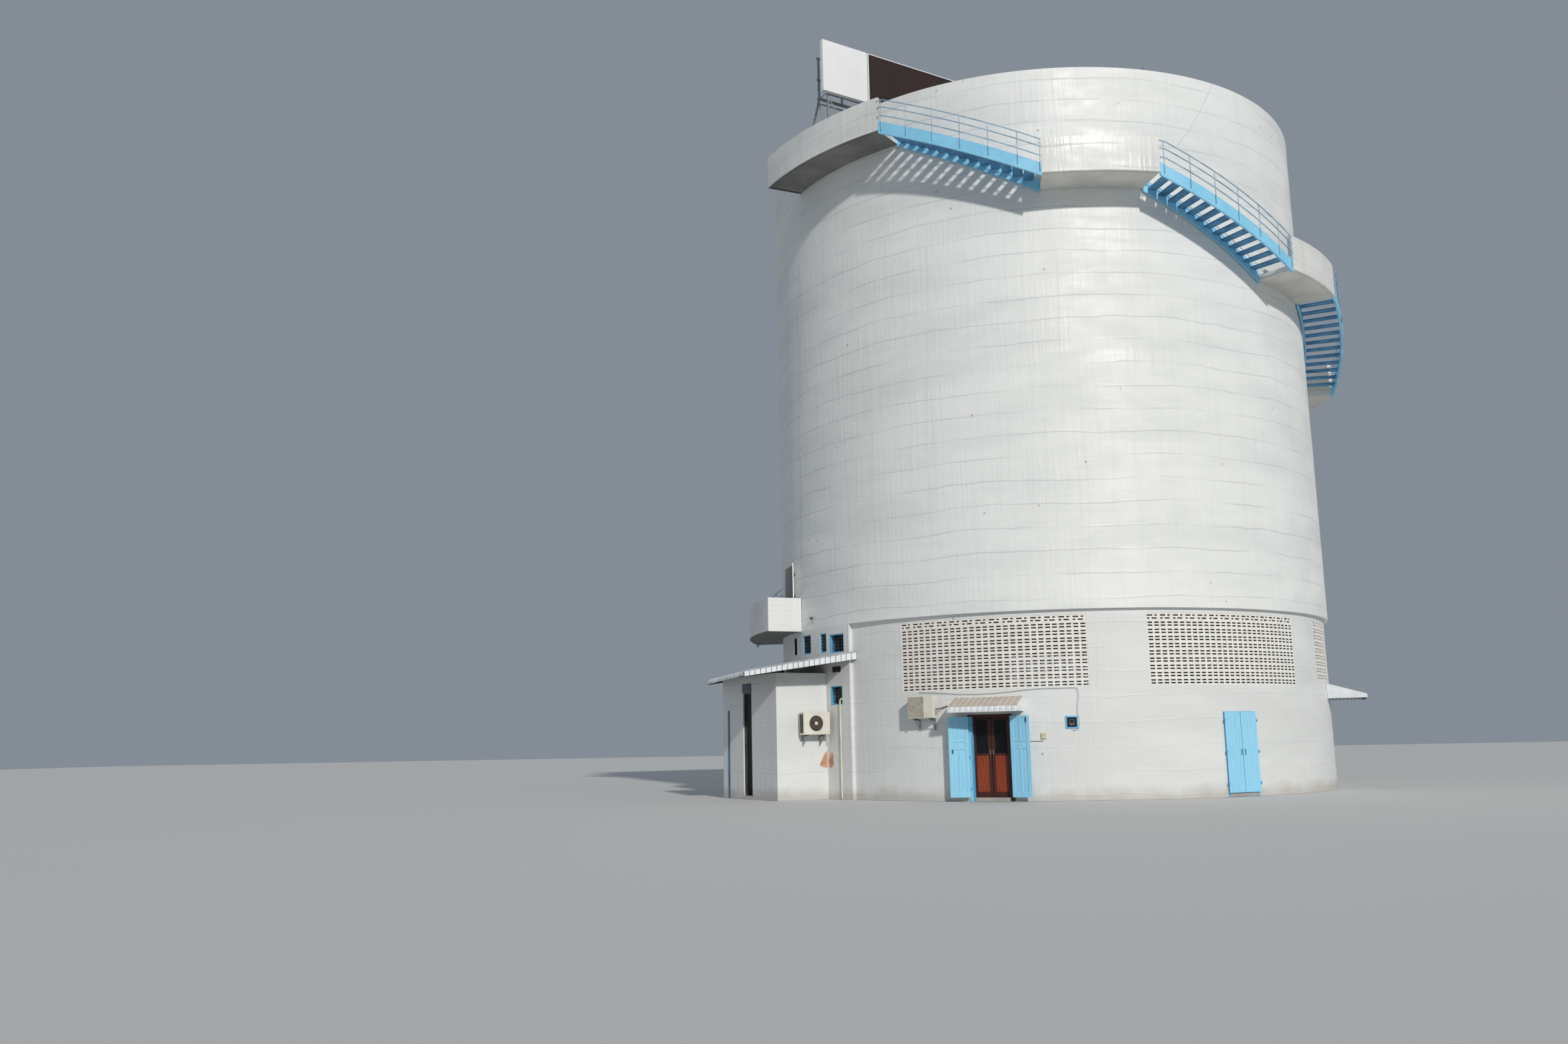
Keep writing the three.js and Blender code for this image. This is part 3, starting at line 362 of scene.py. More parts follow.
class Shape:
    """Points and faces gathered in one frame, then made into one named piece."""

    def __init__(self, place=None):
        self.place = place or Matrix.Identity(4)
        self.points, self.faces, self.marks = [], [], []

    def add(self, points, faces, mark=0):
        start = len(self.points)
        self.points.extend(self.place @ Vector(point) for point in points)
        self.faces.extend([start + index for index in face] for face in faces)
        self.marks.extend(mark if isinstance(mark, list) else [mark] * len(faces))

    def block(self, x0, x1, y0, y1, z0, z1, mark=0, edge=0.0):
        """A box, with its twelve edges cut back where edge isn't 0."""
        x0, x1 = sorted((x0, x1))
        y0, y1 = sorted((y0, y1))
        if edge <= 0:
            self.add([(x, y, z) for z in (z0, z1) for y in (y0, y1) for x in (x0, x1)],
                     [(0, 2, 3, 1), (4, 5, 7, 6), (0, 1, 5, 4), (2, 6, 7, 3), (0, 4, 6, 2), (1, 3, 7, 5)],
                     mark)
            return
        work = bmesh.new()
        bmesh.ops.create_cube(work, size=1.0, matrix=Matrix.Translation(
            ((x0 + x1) / 2, (y0 + y1) / 2, (z0 + z1) / 2)) @ Matrix.Diagonal((x1 - x0, y1 - y0, z1 - z0, 1)))
        bmesh.ops.bevel(work, geom=work.edges[:], offset=edge, segments=1, affect="EDGES", profile=0.5)
        work.verts.index_update()
        self.add([vertex.co.copy() for vertex in work.verts],
                 [[vertex.index for vertex in face.verts] for face in work.faces], mark)
        work.free()

    def wall_blocks(self, wall, *boxes):
        """Boxes given by place along the wall, reach from the wall's own, height, mark and edge."""
        for x0, x1, inner, outer, z0, z1, mark, edge in boxes:
            self.block(x0, x1, -(wall + outer), -(wall + inner), z0, z1, mark, edge)

    def frame(self, x0, x1, y0, y1, z0, z1, rim, edge, mark=0):
        """Two uprights and two level bars between them."""
        for a, b, low, high in ((x0, x0 + rim, z0, z1), (x1 - rim, x1, z0, z1),
                                (x0 + rim, x1 - rim, z0, z0 + rim), (x0 + rim, x1 - rim, z1 - rim, z1)):
            self.block(a, b, y0, y1, low, high, mark, edge)

    def rings(self, rings, mark=0, closed=False):
        """Joins a row of equal outlines into one skin, which is capped or closed on itself."""
        count, total = len(rings[0]), len(rings)
        faces = []
        for index in range(total if closed else total - 1):
            here, there = index * count, (index + 1) % total * count
            for side in range(count):
                other = (side + 1) % count
                faces.append((here + side, here + other, there + other, there + side))
        if not closed:
            faces += [tuple(range(count)), tuple(range(count * total - 1, count * (total - 1) - 1, -1))]
        self.add([point for ring in rings for point in ring], faces, mark)

    def along_wall(self, outline, x0, x1, mark=0):
        """An outline of reach and height, drawn out along the wall of a turned frame."""
        self.rings([[(x, -reach, z) for reach, z in outline] for x in (x0, x1)], mark)

    def tube(self, path, radius, mark=0, sides=8, closed=False):
        """A round bar along a path of points."""
        path = [Vector(point) for point in path]
        rings, normal, count = [], None, len(path)
        for index, point in enumerate(path):
            before = path[index - 1] if index or closed else point
            after = path[(index + 1) % count] if index < count - 1 or closed else point
            along = (after - before).normalized()
            normal = normal or across(along)
            normal = (normal - along * normal.dot(along)).normalized()
            rings.append(circle(point, normal, along.cross(normal), radius, sides))
        self.rings(rings, mark, closed)

    def bar(self, start, end, width, depth, mark=0, guide=UP):
        """A straight bar with a rectangular section."""
        start, end, guide = Vector(start), Vector(end), Vector(guide)
        along = (end - start).normalized()
        if abs(along.dot(guide)) > 0.95:
            guide = Vector(ALONG)
        side = along.cross(guide).normalized() * (width / 2)
        top = side.cross(along).normalized() * (depth / 2)
        self.rings([[end_point + side * a + top * b for a, b in ((1, 1), (-1, 1), (-1, -1), (1, -1))]
                    for end_point in (start, end)], mark)

    def angle_bar(self, start, end, leg, thick, first=ALONG, second=INWARD):
        """A steel angle: an L section with its corner on the line."""
        first, second = Vector(first) * leg, Vector(second) * leg
        share = thick / leg
        outline = [first * 0, first, first + second * share, (first + second) * share,
                   second + first * share, second]
        self.rings([[Vector(end_point) + step for step in outline] for end_point in (start, end)])

    def lathe(self, centre, axis, profile, mark=0, sides=14):
        """A turned form: pairs of radius and distance along the axis, closed at both ends."""
        axis = Vector(axis).normalized()
        first = across(axis)
        self.rings([circle(Vector(centre) + axis * along, first, axis.cross(first), radius, sides)
                    for radius, along in profile], mark)

    def sweep(self, outline, start, end, step=WALL_STEP, mark=0, climb=None):
        """An outline of radius and height, carried round the axis between two azimuths."""
        count = max(1, math.ceil(abs(end - start) / step - 1e-6))
        rings = []
        for index in range(count + 1):
            azimuth = start + (end - start) * index / count
            lift = climb(azimuth) if climb else 0.0
            rings.append([polar(radius, azimuth, z + lift) for radius, z in outline])
        self.rings(rings, mark)

    def make(self, name, materials, replaces=(), body="tower"):
        mesh = bpy.data.meshes.new(name)
        mesh.from_pydata([tuple(point) for point in self.points], [], self.faces)
        for material in materials.split():
            mesh.materials.append(PAINTS[material])
        mesh.polygons.foreach_set("material_index", self.marks)
        work = bmesh.new()
        work.from_mesh(mesh)
        bmesh.ops.recalc_face_normals(work, faces=work.faces)
        work.to_mesh(mesh)
        work.free()
        mesh.shade_smooth()
        mesh.set_sharp_from_angle(angle=SHARP_ANGLE)
        piece = bpy.data.objects.new(name, mesh)
        bpy.context.scene.collection.objects.link(piece)
        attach(piece, body)
        if replaces:
            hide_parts(*replaces)

    def dress(self, node, materials, slot, body="tower"):
        """Makes the piece that takes the place of one node."""
        self.make(f"{node}_dressed", materials, (node,), body)


def column_azimuth(column, radius):
    """A column's azimuth at a radius. A column is an azimuth and a distance along the wall from it."""
    return column[0] + math.degrees(math.asin(column[1] / radius))


def shell(shape, inner, outer, columns, levels, is_open, relief=None, marks=(0, 1, 0), wrap=False):
    """A curved wall made of cells between columns and levels, left open where is_open says so."""
    count, rows = len(columns), len(levels) - 1
    cells = count if wrap else count - 1
    places, points, faces, kinds = {}, [], [], []

    def corner(layer, column, level):
        key = (layer, column % count, level)
        if key not in places:
            radius = outer if layer else inner
            azimuth = column_azimuth(columns[column % count], radius)
            if layer and relief:
                radius -= relief(azimuth, levels[level])
            places[key] = len(points)
            points.append(polar(radius, azimuth, levels[level]))
        return places[key]

    def face(kind, *corners):
        faces.append([corner(*spot) for spot in corners])
        kinds.append(marks[kind])

    filled = set()
    for column in range(cells):
        first, second = (column_azimuth(columns[end % count], outer) for end in (column, column + 1))
        middle = (first + (second + 360 if second < first else second)) / 2
        filled.update((column, row) for row in range(rows)
                      if not is_open(middle, (levels[row] + levels[row + 1]) / 2))

    def is_filled(column, row):
        return (column % cells if wrap else column, row) in filled

    for column, row in sorted(filled):
        right, above = column + 1, row + 1
        face(0, (1, column, row), (1, right, row), (1, right, above), (1, column, above))
        face(1, (0, right, row), (0, column, row), (0, column, above), (0, right, above))
        if not is_filled(column - 1, row):
            face(2, (0, column, row), (1, column, row), (1, column, above), (0, column, above))
        if not is_filled(right, row):
            face(2, (1, right, row), (0, right, row), (0, right, above), (1, right, above))
        if not is_filled(column, row - 1):
            face(2, (0, column, row), (0, right, row), (1, right, row), (1, column, row))
        if not is_filled(column, above):
            face(2, (1, column, above), (1, right, above), (0, right, above), (0, column, above))
    shape.add(points, faces, kinds)


def even_columns(start, end, extra):
    """Columns at even azimuths, with others added in place of those that stand close to them."""
    count = max(1, round((end - start) / WALL_STEP))
    columns = [(start + (end - start) * index / count, 0.0) for index in range(count + 1)]
    for added in extra:
        here = column_azimuth(added, BASE)
        columns = [column for column in columns if column in ((start, 0.0), (end, 0.0))
                   or abs(column_azimuth(column, BASE) - here) > WALL_STEP / 3] + [added]
    return sorted(columns, key=lambda column: column_azimuth(column, BASE))


def near(azimuth, centre):
    """The azimuth's distance from a centre, from -180 to 180."""
    return (azimuth - centre + 180) % 360 - 180


def within(value, span):
    return span[0] < value < span[1]


def pierced(holes, radius):
    """Tells whether a place on a wall lies in a hole. A hole is a centre, half width, sill and head."""
    def is_open(azimuth, z):
        return any(abs(near(azimuth, centre)) < 90 and sill < z < head
                   and abs(math.sin(math.radians(near(azimuth, centre))) * radius) < half
                   for centre, half, sill, head in holes)
    return is_open


def sides_of(holes):
    return [(centre, side * half) for centre, half, _, _ in holes for side in (-1, 1)]


def lump(azimuth, around, up):
    """Smooth noise that joins up round the tower."""
    spot = polar(1.0, azimuth)
    return noise.noise(Vector((spot.x * around, spot.y * around, up)))


# Drum. A relief says how far a face lies inside its greatest radius.

def drum_relief(azimuth, z):
    """Wavering lifts with a step at each joint."""
    if z > RIM - 0.01:
        return 0.014
    lift = math.floor((z + lump(azimuth, 3.1, z * 0.4) * 0.16 - LIP + 0.001) / LIFT)
    return 0.009 + lump(azimuth, 2.3, lift * 7.31) * 0.006 + lump(azimuth, 7.0, z * 1.3) * 0.004


drum_levels = [LIP + lift * LIFT + share * LIFT for lift in range(LIFTS) for share in (0.0, 0.04, 0.5, 0.96)]
drum_levels = [z for z in drum_levels + [RIM - 0.02, RIM]
               if min(abs(z - edge) for edge in UPPER_DOOR[2:]) > 0.03] + [*UPPER_DOOR[2:]]
drum = Shape()
shell(drum, DRUM - WALL, DRUM, even_columns(-180, 178.5, sides_of([UPPER_DOOR])), sorted(drum_levels),
      pierced([UPPER_DOOR], DRUM), drum_relief, wrap=True)
drum.make("drum_dressed", "drum_paint floor_concrete", (
    "drum_front", "drum_rear", "drum_door_left", "drum_door_right", "drum_over_door"))

# Base wall and service wall

BAYS = [(BAY_FIRST + index * BAY_PITCH, SIDE_SCREEN_BOTTOM if index == SIDE_BAY else SCREEN_BOTTOM)
        for index in range(6)]
DOORWAYS = [(azimuth, DOOR_HALF, -1, DOOR_HEAD) for azimuth in (ENTRANCE, SERVICE_DOOR, SIDE_DOOR)]
in_doorway = pierced(DOORWAYS, BASE)


def base_open(azimuth, z):
    return in_doorway(azimuth, z) or any(
        abs(near(azimuth, centre)) < SCREEN_HALF and bottom < z < SCREEN_TOP for centre, bottom in BAYS)


def base_relief(azimuth, z):
    return 0.004 + lump(azimuth, 5.0, z * 1.1) * 0.003


base_wall = Shape()
shell(base_wall, BASE - WALL, BASE,
      even_columns(SERVICE_TO, SERVICE_FROM + 360, sides_of(DOORWAYS) + [
          (centre + side * SCREEN_HALF, 0.0) for centre, _ in BAYS for side in (-1, 1)]),
      [0.0, 0.3, 0.75, 1.2, 1.7, DOOR_HEAD, 2.64, SCREEN_BOTTOM, SIDE_SCREEN_BOTTOM, 3.6, 4.05, 4.5,
       SCREEN_TOP, LIP - 0.001], base_open, base_relief)
base_wall.make("base_wall_dressed", "base_paint floor_concrete", (
    "base_wall_left_of_entrance", "base_wall_between_doors", "base_wall_right_of_doors",
    "lintel_over_entrance", "lintel_over_service_door", "base_wall_front_upper", "base_wall_right_bay",
    "base_wall_rear_bays"))

service = Shape()
shell(service, BASE - WALL, DRUM, even_columns(SERVICE_FROM, SERVICE_TO, sides_of(SERVICE_WINDOWS)),
      sorted({0.0, 0.6, 1.2, 1.9, 3.8, LIP - 0.001}.union(*(hole[2:] for hole in SERVICE_WINDOWS))),
      pierced(SERVICE_WINDOWS, DRUM), base_relief)
service.dress("service_wall", "base_paint floor_concrete", "wall")

for index, (azimuth, half, sill, head) in enumerate(SERVICE_WINDOWS):
    window = Shape(turn(azimuth))
    front, rim = DRUM - 0.014, 0.03
    clear, low, high = half - rim, sill + rim, head - rim
    depth, pane = (0.02, 0.06) if index in SHALLOW_WINDOWS else (0.05, 0.15)
    window.frame(-half, half, -front, 0.16 - front, sill, head, rim, 0.004)
    for k in range(1, 4):
        x = 2 * clear * k / 4 - clear
        window.tube([(x, -front + depth + 0.015, z) for z in (low - 0.01, high + 0.01)], 0.011, 1)
    for k in range(1, 5):
        z = low + (head - sill - 2 * rim) * k / 5
        window.tube([(x, -front + depth, z) for x in (-clear - 0.01, clear + 0.01)], 0.009, 1)
    # A pane of the glass painted dark for the unlit room behind
    window.block(-clear - 0.005, clear + 0.005, pane - 0.006 - front, pane - front, low - 0.005,
                 high + 0.005, 2)
    window.make(f"service_window_{index + 1}", ("dark_grille" if index == DARK_WINDOW else "frame_blue")
                + " dark_grille dark_glass")

# Block screens: 28 by 10 or 9 blocks, each with two slots one over the other. The white paint covers only the
# front edges of the slots, and bare clay shows further in. The top row's slots are wider.

for bay, name in enumerate(("screen_front", "screen_front_right", "screen_right", "screen_rear_right",
                            "screen_rear", "screen_rear_left")):
    centre, bottom = BAYS[bay]
    first = centre - SCREEN_HALF + 0.004
    step = (2 * SCREEN_HALF - 0.008) / BLOCK_COLUMNS
    rows = round((SCREEN_TOP - bottom) / BLOCK_HEIGHT)
    height = (SCREEN_TOP - bottom) / rows
    top_row = bottom + height * (rows - 1)
    ends = [(first, 0.0)], [(first + step * BLOCK_COLUMNS, 0.0)]
    columns, levels = [], [bottom]
    for column in range(BLOCK_COLUMNS):
        jitter = 0.03 * noise.noise(Vector((column * 3.7, bay * 5.1, 0.5)))
        columns += [(first + step * (column + side + jitter), 0.0) for side in SLOT_SIDES]
    for row in range(rows - 1):
        jitter = 0.02 * noise.noise(Vector((row * 2.9, bay * 3.3, 7.5)))
        levels += [bottom + height * (row + side + jitter) for band in SLOT_BANDS for side in band]
    breaks = sorted({share for slot in (*TOP_UPPER_SLOTS, *TOP_LOWER_SLOTS) for share in slot})
    top_columns = [(first + 2 * step * (column + share), 0.0) for column in range(BLOCK_COLUMNS // 2)
                   for share in breaks]

    def in_slots(azimuth, z):
        column, row = (azimuth - first) / step % 1, (z - bottom) / height % 1
        return within(column, SLOT_WIDE) and (within(row, SLOT_LOW) or within(row, SLOT_HIGH))

    def in_top_slots(azimuth, z):
        column, row = (azimuth - first) / (2 * step) % 1, (z - top_row) / height
        return any(within(row, band) and any(within(column, slot) for slot in slots)
                   for band, slots in zip(SLOT_BANDS, (TOP_LOWER_SLOTS, TOP_UPPER_SLOTS)))

    screen = Shape()
    for columns, levels, is_open in (
            (columns, levels + [top_row], in_slots),
            (top_columns, [top_row] + [top_row + height * side for band in SLOT_BANDS for side in band]
             + [SCREEN_TOP], in_top_slots)):
        columns = ends[0] + columns + ends[1]
        shell(screen, PAINTED_FROM, SCREEN_OUTER, columns, levels, is_open,
              lambda azimuth, z: 0.004 + 0.004 * lump(azimuth, 40, z * 9))
        shell(screen, SCREEN_INNER, PAINTED_FROM, columns, levels, is_open, None, (1, 1, 1))
    # The second screen's slots take the clay painted near black as painted shade
    screen.make(f"{name}_blocks", "screen_paint " + {1: "dark_clay", SIDE_BAY: "grey_clay"}.get(bay, "clay"),
                (name,))


# Stair: landings and flights

def landing(name, start, end, floor, closed_end, outer=STAIR_OUTER, soffit="soffit_concrete"):
    """A slab with a parapet round its outer side, with small chamfers and a drip groove under the edge."""
    shape = Shape()
    bottom = floor - LANDING_SLAB
    top = bottom + PARAPET_HEIGHT
    cut, skin, joint = 0.012, 0.04, DRUM + 0.105
    wall_angle = math.degrees(PARAPET / outer)
    shape.sweep([(SLAB_INNER, bottom), (outer - 0.09, bottom), (outer - 0.085, bottom + 0.012),
                 (outer - 0.07, bottom + 0.012), (outer - 0.065, bottom), (outer - cut, bottom),
                 (outer, bottom + cut), (outer, top - cut), (outer - cut, top), (outer - PARAPET + cut, top),
                 (outer - PARAPET, top - cut), (outer - PARAPET, floor), (SLAB_INNER, floor)],
                start + wall_angle / 2 if closed_end == "from" else start,
                end - wall_angle / 2 if closed_end == "to" else end)
    if closed_end:
        first, second = (start, start + wall_angle) if closed_end == "from" else (end - wall_angle, end)
        shape.sweep([(SLAB_INNER, bottom + 0.003), (outer - 0.004, bottom + 0.003),
                     (outer - 0.004, top - cut), (outer - cut, top - 0.004), (SLAB_INNER, top - 0.004)],
                    first + skin, second - skin)
        shape.sweep([(SLAB_INNER, bottom), (joint, bottom), (joint, top - 0.002), (SLAB_INNER, top - 0.002)],
                    first, second, mark=3)
        shape.sweep([(joint + 0.007, bottom), (outer - cut, bottom), (outer, bottom + cut),
                     (outer, top - cut), (outer - cut, top), (joint + 0.007, top)], first, second, mark=3)
    for index, face in enumerate(shape.faces):
        corners = [shape.points[corner] for corner in face]
        low, high = min(corner.z for corner in corners), max(corner.z for corner in corners)
        if high - low < 0.013 and high < bottom + 0.02:
            shape.marks[index] = 1
        elif high - low < 0.001 and abs(high - floor) < 0.002:
            shape.marks[index] = 2
        elif shape.marks[index] == 3 and (sum(corners, Vector()) / len(face)).to_2d().length > outer - 0.03:
            shape.marks[index] = 0
    shape.dress(name, f"parapet_paint {soffit} floor_concrete board_marked_paint", "wall")


def flight(name, foot, risers, floor):
    """Stringers, treads on cleats, round posts and three round rails, from the azimuth of its foot."""
    head = foot - risers * TREAD_PITCH
    shape = Shape()

    def line(azimuth):
        return floor + (foot - azimuth) / TREAD_PITCH * RISE

    def rail(azimuth, height):
        return line(max(azimuth, head + LEVEL_END)) + STRINGER_ABOVE + height

    start, end = foot - 0.004, head + 0.004
    above, below, cut = STRINGER_ABOVE, STRINGER_ABOVE - STRINGER_DEPTH, 0.006
    for inner in (STRINGER_INNER, STAIR_OUTER - STRINGER):
        outer = inner + STRINGER
        shape.sweep([(inner, below + cut), (inner + cut, below), (outer - cut, below), (outer, below + cut),
                     (outer, above - cut), (outer - cut, above), (inner + cut, above), (inner, above - cut)],
                    start, end, STRINGER_STEP, 0, line)
    half, round_off = TREAD_PITCH * TREAD_SHARE / 2, 0.012
    inner, outer = STRINGER_INNER + STRINGER - 0.01, STAIR_OUTER - STRINGER + 0.01
    for step in range(1, risers):
        azimuth = foot - step * TREAD_PITCH
        back, nosing = azimuth - half, azimuth + half
        top = line(azimuth)
        bottom = top - TREAD_THICKNESS
        rings = []
        for radius in (inner, outer):
            lead = nosing - math.degrees(round_off / radius)
            rings.append([polar(radius, *spot) for spot in (
                (back, bottom), (lead, bottom), (nosing, bottom + round_off), (nosing, top - round_off),
                (lead, top), (back, top))])
        shape.rings(rings, 1)
        for radius, side in ((inner, 1), (outer, -1)):
            arm, web, wide = radius + side * 0.055, radius + side * 0.008, math.degrees(0.11 / radius)
            outline = ((radius, bottom), (arm, bottom), (arm, bottom - 0.006), (web, bottom - 0.006),
                       (web, bottom - 0.05), (radius, bottom - 0.05))
            shape.rings([[polar(reach, azimuth + shift, z) for reach, z in outline]
                         for shift in (-wide, wide)], 1)
    azimuths = [start + (end - start) * index / (risers * 2) for index in range(risers * 2 + 1)]
    for height in RAIL_HEIGHTS:
        shape.tube([polar(RAIL_RADIUS, azimuth, rail(azimuth, height) - 0.02) for azimuth in azimuths],
                   RAIL_THICK, 2)
    azimuths = []
    azimuth = head + POST_FIRST
    while azimuth < foot - POST_FIRST:
        azimuths.append(azimuth)
        azimuth += POST_SPACING
    for azimuth in azimuths + [foot - 0.25]:
        top = line(azimuth) + above
        shape.tube([polar(RAIL_RADIUS - 0.002, azimuth, z)
                    for z in (top - 0.27, rail(azimuth, RAIL_HEIGHTS[2]) - 0.015)], POST_THICK, 2)
        for drop in (0.06, 0.22):
            shape.lathe(polar(STAIR_OUTER - 0.004, azimuth, top - drop), polar(1, azimuth),
                        [(0.016, 0.0), (0.016, 0.014), (0.011, 0.018)], 2, 8)
    shape.dress(name, "stair_blue tread_blue rail_blue", "blue")


landing("top_balcony", *TOP_BALCONY, TOP_FLOOR, "from")
level, low_end = TOP_FLOOR, TOP_BALCONY[1]
for index, count in enumerate(RISERS):
    foot = low_end + count * TREAD_PITCH
    level -= count * RISE
    flight(f"flight_{len(RISERS) - index}", foot, count, level)
    if index < len(LANDINGS):
        low_end = foot + (LANDING_A_TO - foot if index == 0 else REAR_LANDING)
        # The landings between the flights take the soffit with painted bounce light
        landing(LANDINGS[index], foot, low_end, level, None, soffit="white_soffit")
landing("low_landing", *LOW_LANDING, FIRST_FLOOR, "to", LOW_LANDING_OUTER)

# Doors

LUG = [(0.009, 0.0), (0.011, 0.002), (0.011, 0.039), (0.009, 0.04)]
KNUCKLE = [(0.009, 0.0), (0.011, 0.002), (0.011, 0.038), (0.008, 0.0397)]
LEAF_BOTTOM, OUTER_LEAF_TOP, INNER_LEAF_TOP = 0.11, DOOR_HEAD - 0.01, DOOR_HEAD - 0.06
OUTER_LEAF = (0.0125, 0.0475)
INNER_LEAF = (-0.052, -0.012)


def door_frame(name, azimuth, material, slot, lugs_inside):
    """The lining of a doorway, with the stops and the hinge lugs that carry its leaves."""
    shape = Shape(turn(azimuth))
    side, head, rim = DOOR_HALF - GAP, DOOR_HEAD - GAP, 0.05
    inner, stop, outer = 8.42, 8.484, 8.63
    for a, b, mark in ((inner, stop, 0), (stop, outer, 2)):
        shape.wall_blocks(0, (-side, rim - side, a, b, 0, head, mark, 0.003),
                          (side - rim, side, a, b, 0, head, 0, 0.003),
                          (rim - side, side - rim, a, b, DOOR_HEAD - rim, head, 0, 0.003))
    shape.wall_blocks(0, (rim - side, side - rim, inner, outer, 0, GROUND_FLOOR, 1, 0.006))
    for hand in (-1, 1):
        for z in HINGE_HEIGHTS:
            low = z - 0.04
            shape.wall_blocks(0, (hand * 0.48, hand * 0.571, 8.606, 8.626, low, z, 2, 0.002),
                              (hand * 0.553, hand * 0.571, 8.61, OUTER_AXIS[1], low, z, 2, 0.002))
            shape.lathe((hand * OUTER_AXIS[0], -OUTER_AXIS[1], low), UP, LUG, 2)
            if lugs_inside:
                shape.wall_blocks(0, (hand * 0.462, hand * 0.49, 8.424, 8.432, low, z, 2, 0.0))
                shape.lathe((hand * INNER_AXIS[0], -INNER_AXIS[1], low), UP, LUG, 2)
    shape.dress(name, material + " floor_concrete frame_blue", slot)


def leaf_shape(azimuth, side, axis, angle=0):
    """A leaf's own frame: its hinge axis is z, and it lies closed from the axis to the doorway's middle."""
    return Shape(turn(azimuth) @ Matrix.Translation((side * axis[0], -axis[1], 0)) @ turn(angle))


def hinges(shape, side, depth, mark):
    for z in HINGE_HEIGHTS:
        shape.lathe((0, 0, z + GAP), UP, KNUCKLE, mark)
        shape.block(-side * 0.03, side * 0.002, depth, 0, z + GAP, z + 0.04, mark, 0.001)


def pull(shape, x, y, reach, low, high, bend, mark, radius=0.007):
    shape.tube([(x, y, low), (x, y - reach, low + bend), (x, y - reach, high - bend), (x, y, high)],
               radius, mark)


def boards(shape, low, high, count, gap, *rest):
    """Upright boards side by side."""
    for board in range(count):
        shape.block(low + (high - low) * board / count + gap,
                    low + (high - low) * (board + 1) / count - gap, *rest)


def sunk_panel(shape, x0, x1, z0, z1):
    """A thin panel set deep between the stiles, with a slightly raised field on both faces."""
    low, high = sorted((x0, x1))
    middle, half = sum(OUTER_LEAF) / 2, 0.003
    shape.block(low - 0.004, high + 0.004, middle - half, middle + half, z0 - 0.004, z1 + 0.004)
    for face in (-1, 1):
        shape.rings([[(x, middle + face * depth, z) for x, z in (
            (low + rim, z0 + rim), (high - rim, z0 + rim), (high - rim, z1 - rim), (low + rim, z1 - rim))]
            for depth, rim in ((half, 0.028), (half + 0.002, 0.036))])


def panelled_leaf(name, body, side, angle):
    """An outer leaf of the entrance: two tall panels, one short wide one and two low ones, on both faces."""
    shape = leaf_shape(ENTRANCE, side, OUTER_AXIS, angle)
    front, back = OUTER_LEAF
    near_x, far_x = -side * 0.0125, -side * 0.556
    inner, outer = near_x - side * 0.092, far_x + side * 0.092
    for x0, x1 in ((near_x, inner), (outer, far_x)):
        shape.block(x0, x1, front, back, LEAF_BOTTOM, OUTER_LEAF_TOP, 0, 0.003)
    rails = [(LEAF_BOTTOM, LEAF_BOTTOM + 0.15), (1.375, 1.415), (1.57, 1.635), (2.19, OUTER_LEAF_TOP)]
    for z0, z1 in rails:
        shape.block(inner, outer, front + 0.0005, back - 0.0005, z0, z1, 0, 0.002)
    middle, half = (inner + outer) / 2, 0.027
    for z0, z1 in ((rails[0][1], rails[1][0]), (rails[2][1], rails[3][0])):
        shape.block(middle - half, middle + half, front + 0.001, back - 0.001, z0, z1, 0, 0.002)
        sunk_panel(shape, inner, middle + side * half, z0, z1)
        sunk_panel(shape, middle - side * half, outer, z0, z1)
    sunk_panel(shape, inner, outer, rails[1][1], rails[2][0])
    hinges(shape, side, back * 0.6, 3)
    if side < 0:
        x = far_x + side * 0.098
        shape.block(x - 0.02, x + 0.02, back, back + 0.004, 1.27, 1.37, 1, 0.001)
        shape.lathe((x, back + 0.003, 1.32), INWARD,
                    [(0.012, 0.0), (0.014, 0.006), (0.014, 0.02), (0.008, 0.026)], 2, 12)
    else:
        x = far_x + side * 0.085
        shape.block(x - 0.014, x + 0.014, back, back + 0.006, 2.08, 2.2, 1, 0.001)
        shape.tube([(x, back + 0.012, 2.06), (x, back + 0.012, 2.204)], 0.008, 1)
    shape.dress(name, "door_blue black_iron galvanised frame_blue", "blue", body)


def glazed_leaf(name, body, side):
    """An inner leaf of the entrance: glass painted dark for the unlit room behind, over upright boards, with
    a pull at the meeting stile.
    """
    shape = leaf_shape(ENTRANCE, side, INNER_AXIS)
    front, back = INNER_LEAF
    near_x, far_x = side * 0.003, -side * 0.46
    hinge_stile, meeting_stile = (0.04, 0.09) if side < 0 else (0.044, 0.073)
    inner, outer = near_x - side * hinge_stile, far_x + side * meeting_stile
    kick, waist, sill, head = LEAF_BOTTOM + 0.13, 1.21, 1.255, INNER_LEAF_TOP - 0.035
    for x0, x1 in ((near_x, inner), (outer, far_x)):
        shape.block(x0, x1, front, back, LEAF_BOTTOM, INNER_LEAF_TOP, 0, 0.003)
    for z0, z1 in ((LEAF_BOTTOM, kick), (waist, sill), (head, INNER_LEAF_TOP)):
        shape.block(inner, outer, front + 0.0005, back - 0.0005, z0, z1, 0, 0.002)
    low, high = sorted((inner, outer))
    boards(shape, low, high, 9, 0.0015, -0.042, -0.022, kick, waist, 1, 0.005)
    shape.block(low - 0.006, high + 0.006, -0.035, -0.029, sill - 0.006, head + 0.006, 2)
    shape.frame(low, high, -0.048, -0.035, sill, head, 0.01, 0.002)
    hinges(shape, side, -0.02, 3)
    pull(shape, far_x + side * 0.035, front, 0.03, 1.22, 1.36, 0.005, 4)
    shape.dress(name, "dark_wood red_wood dark_glass black_iron galvanised", "wood", body)


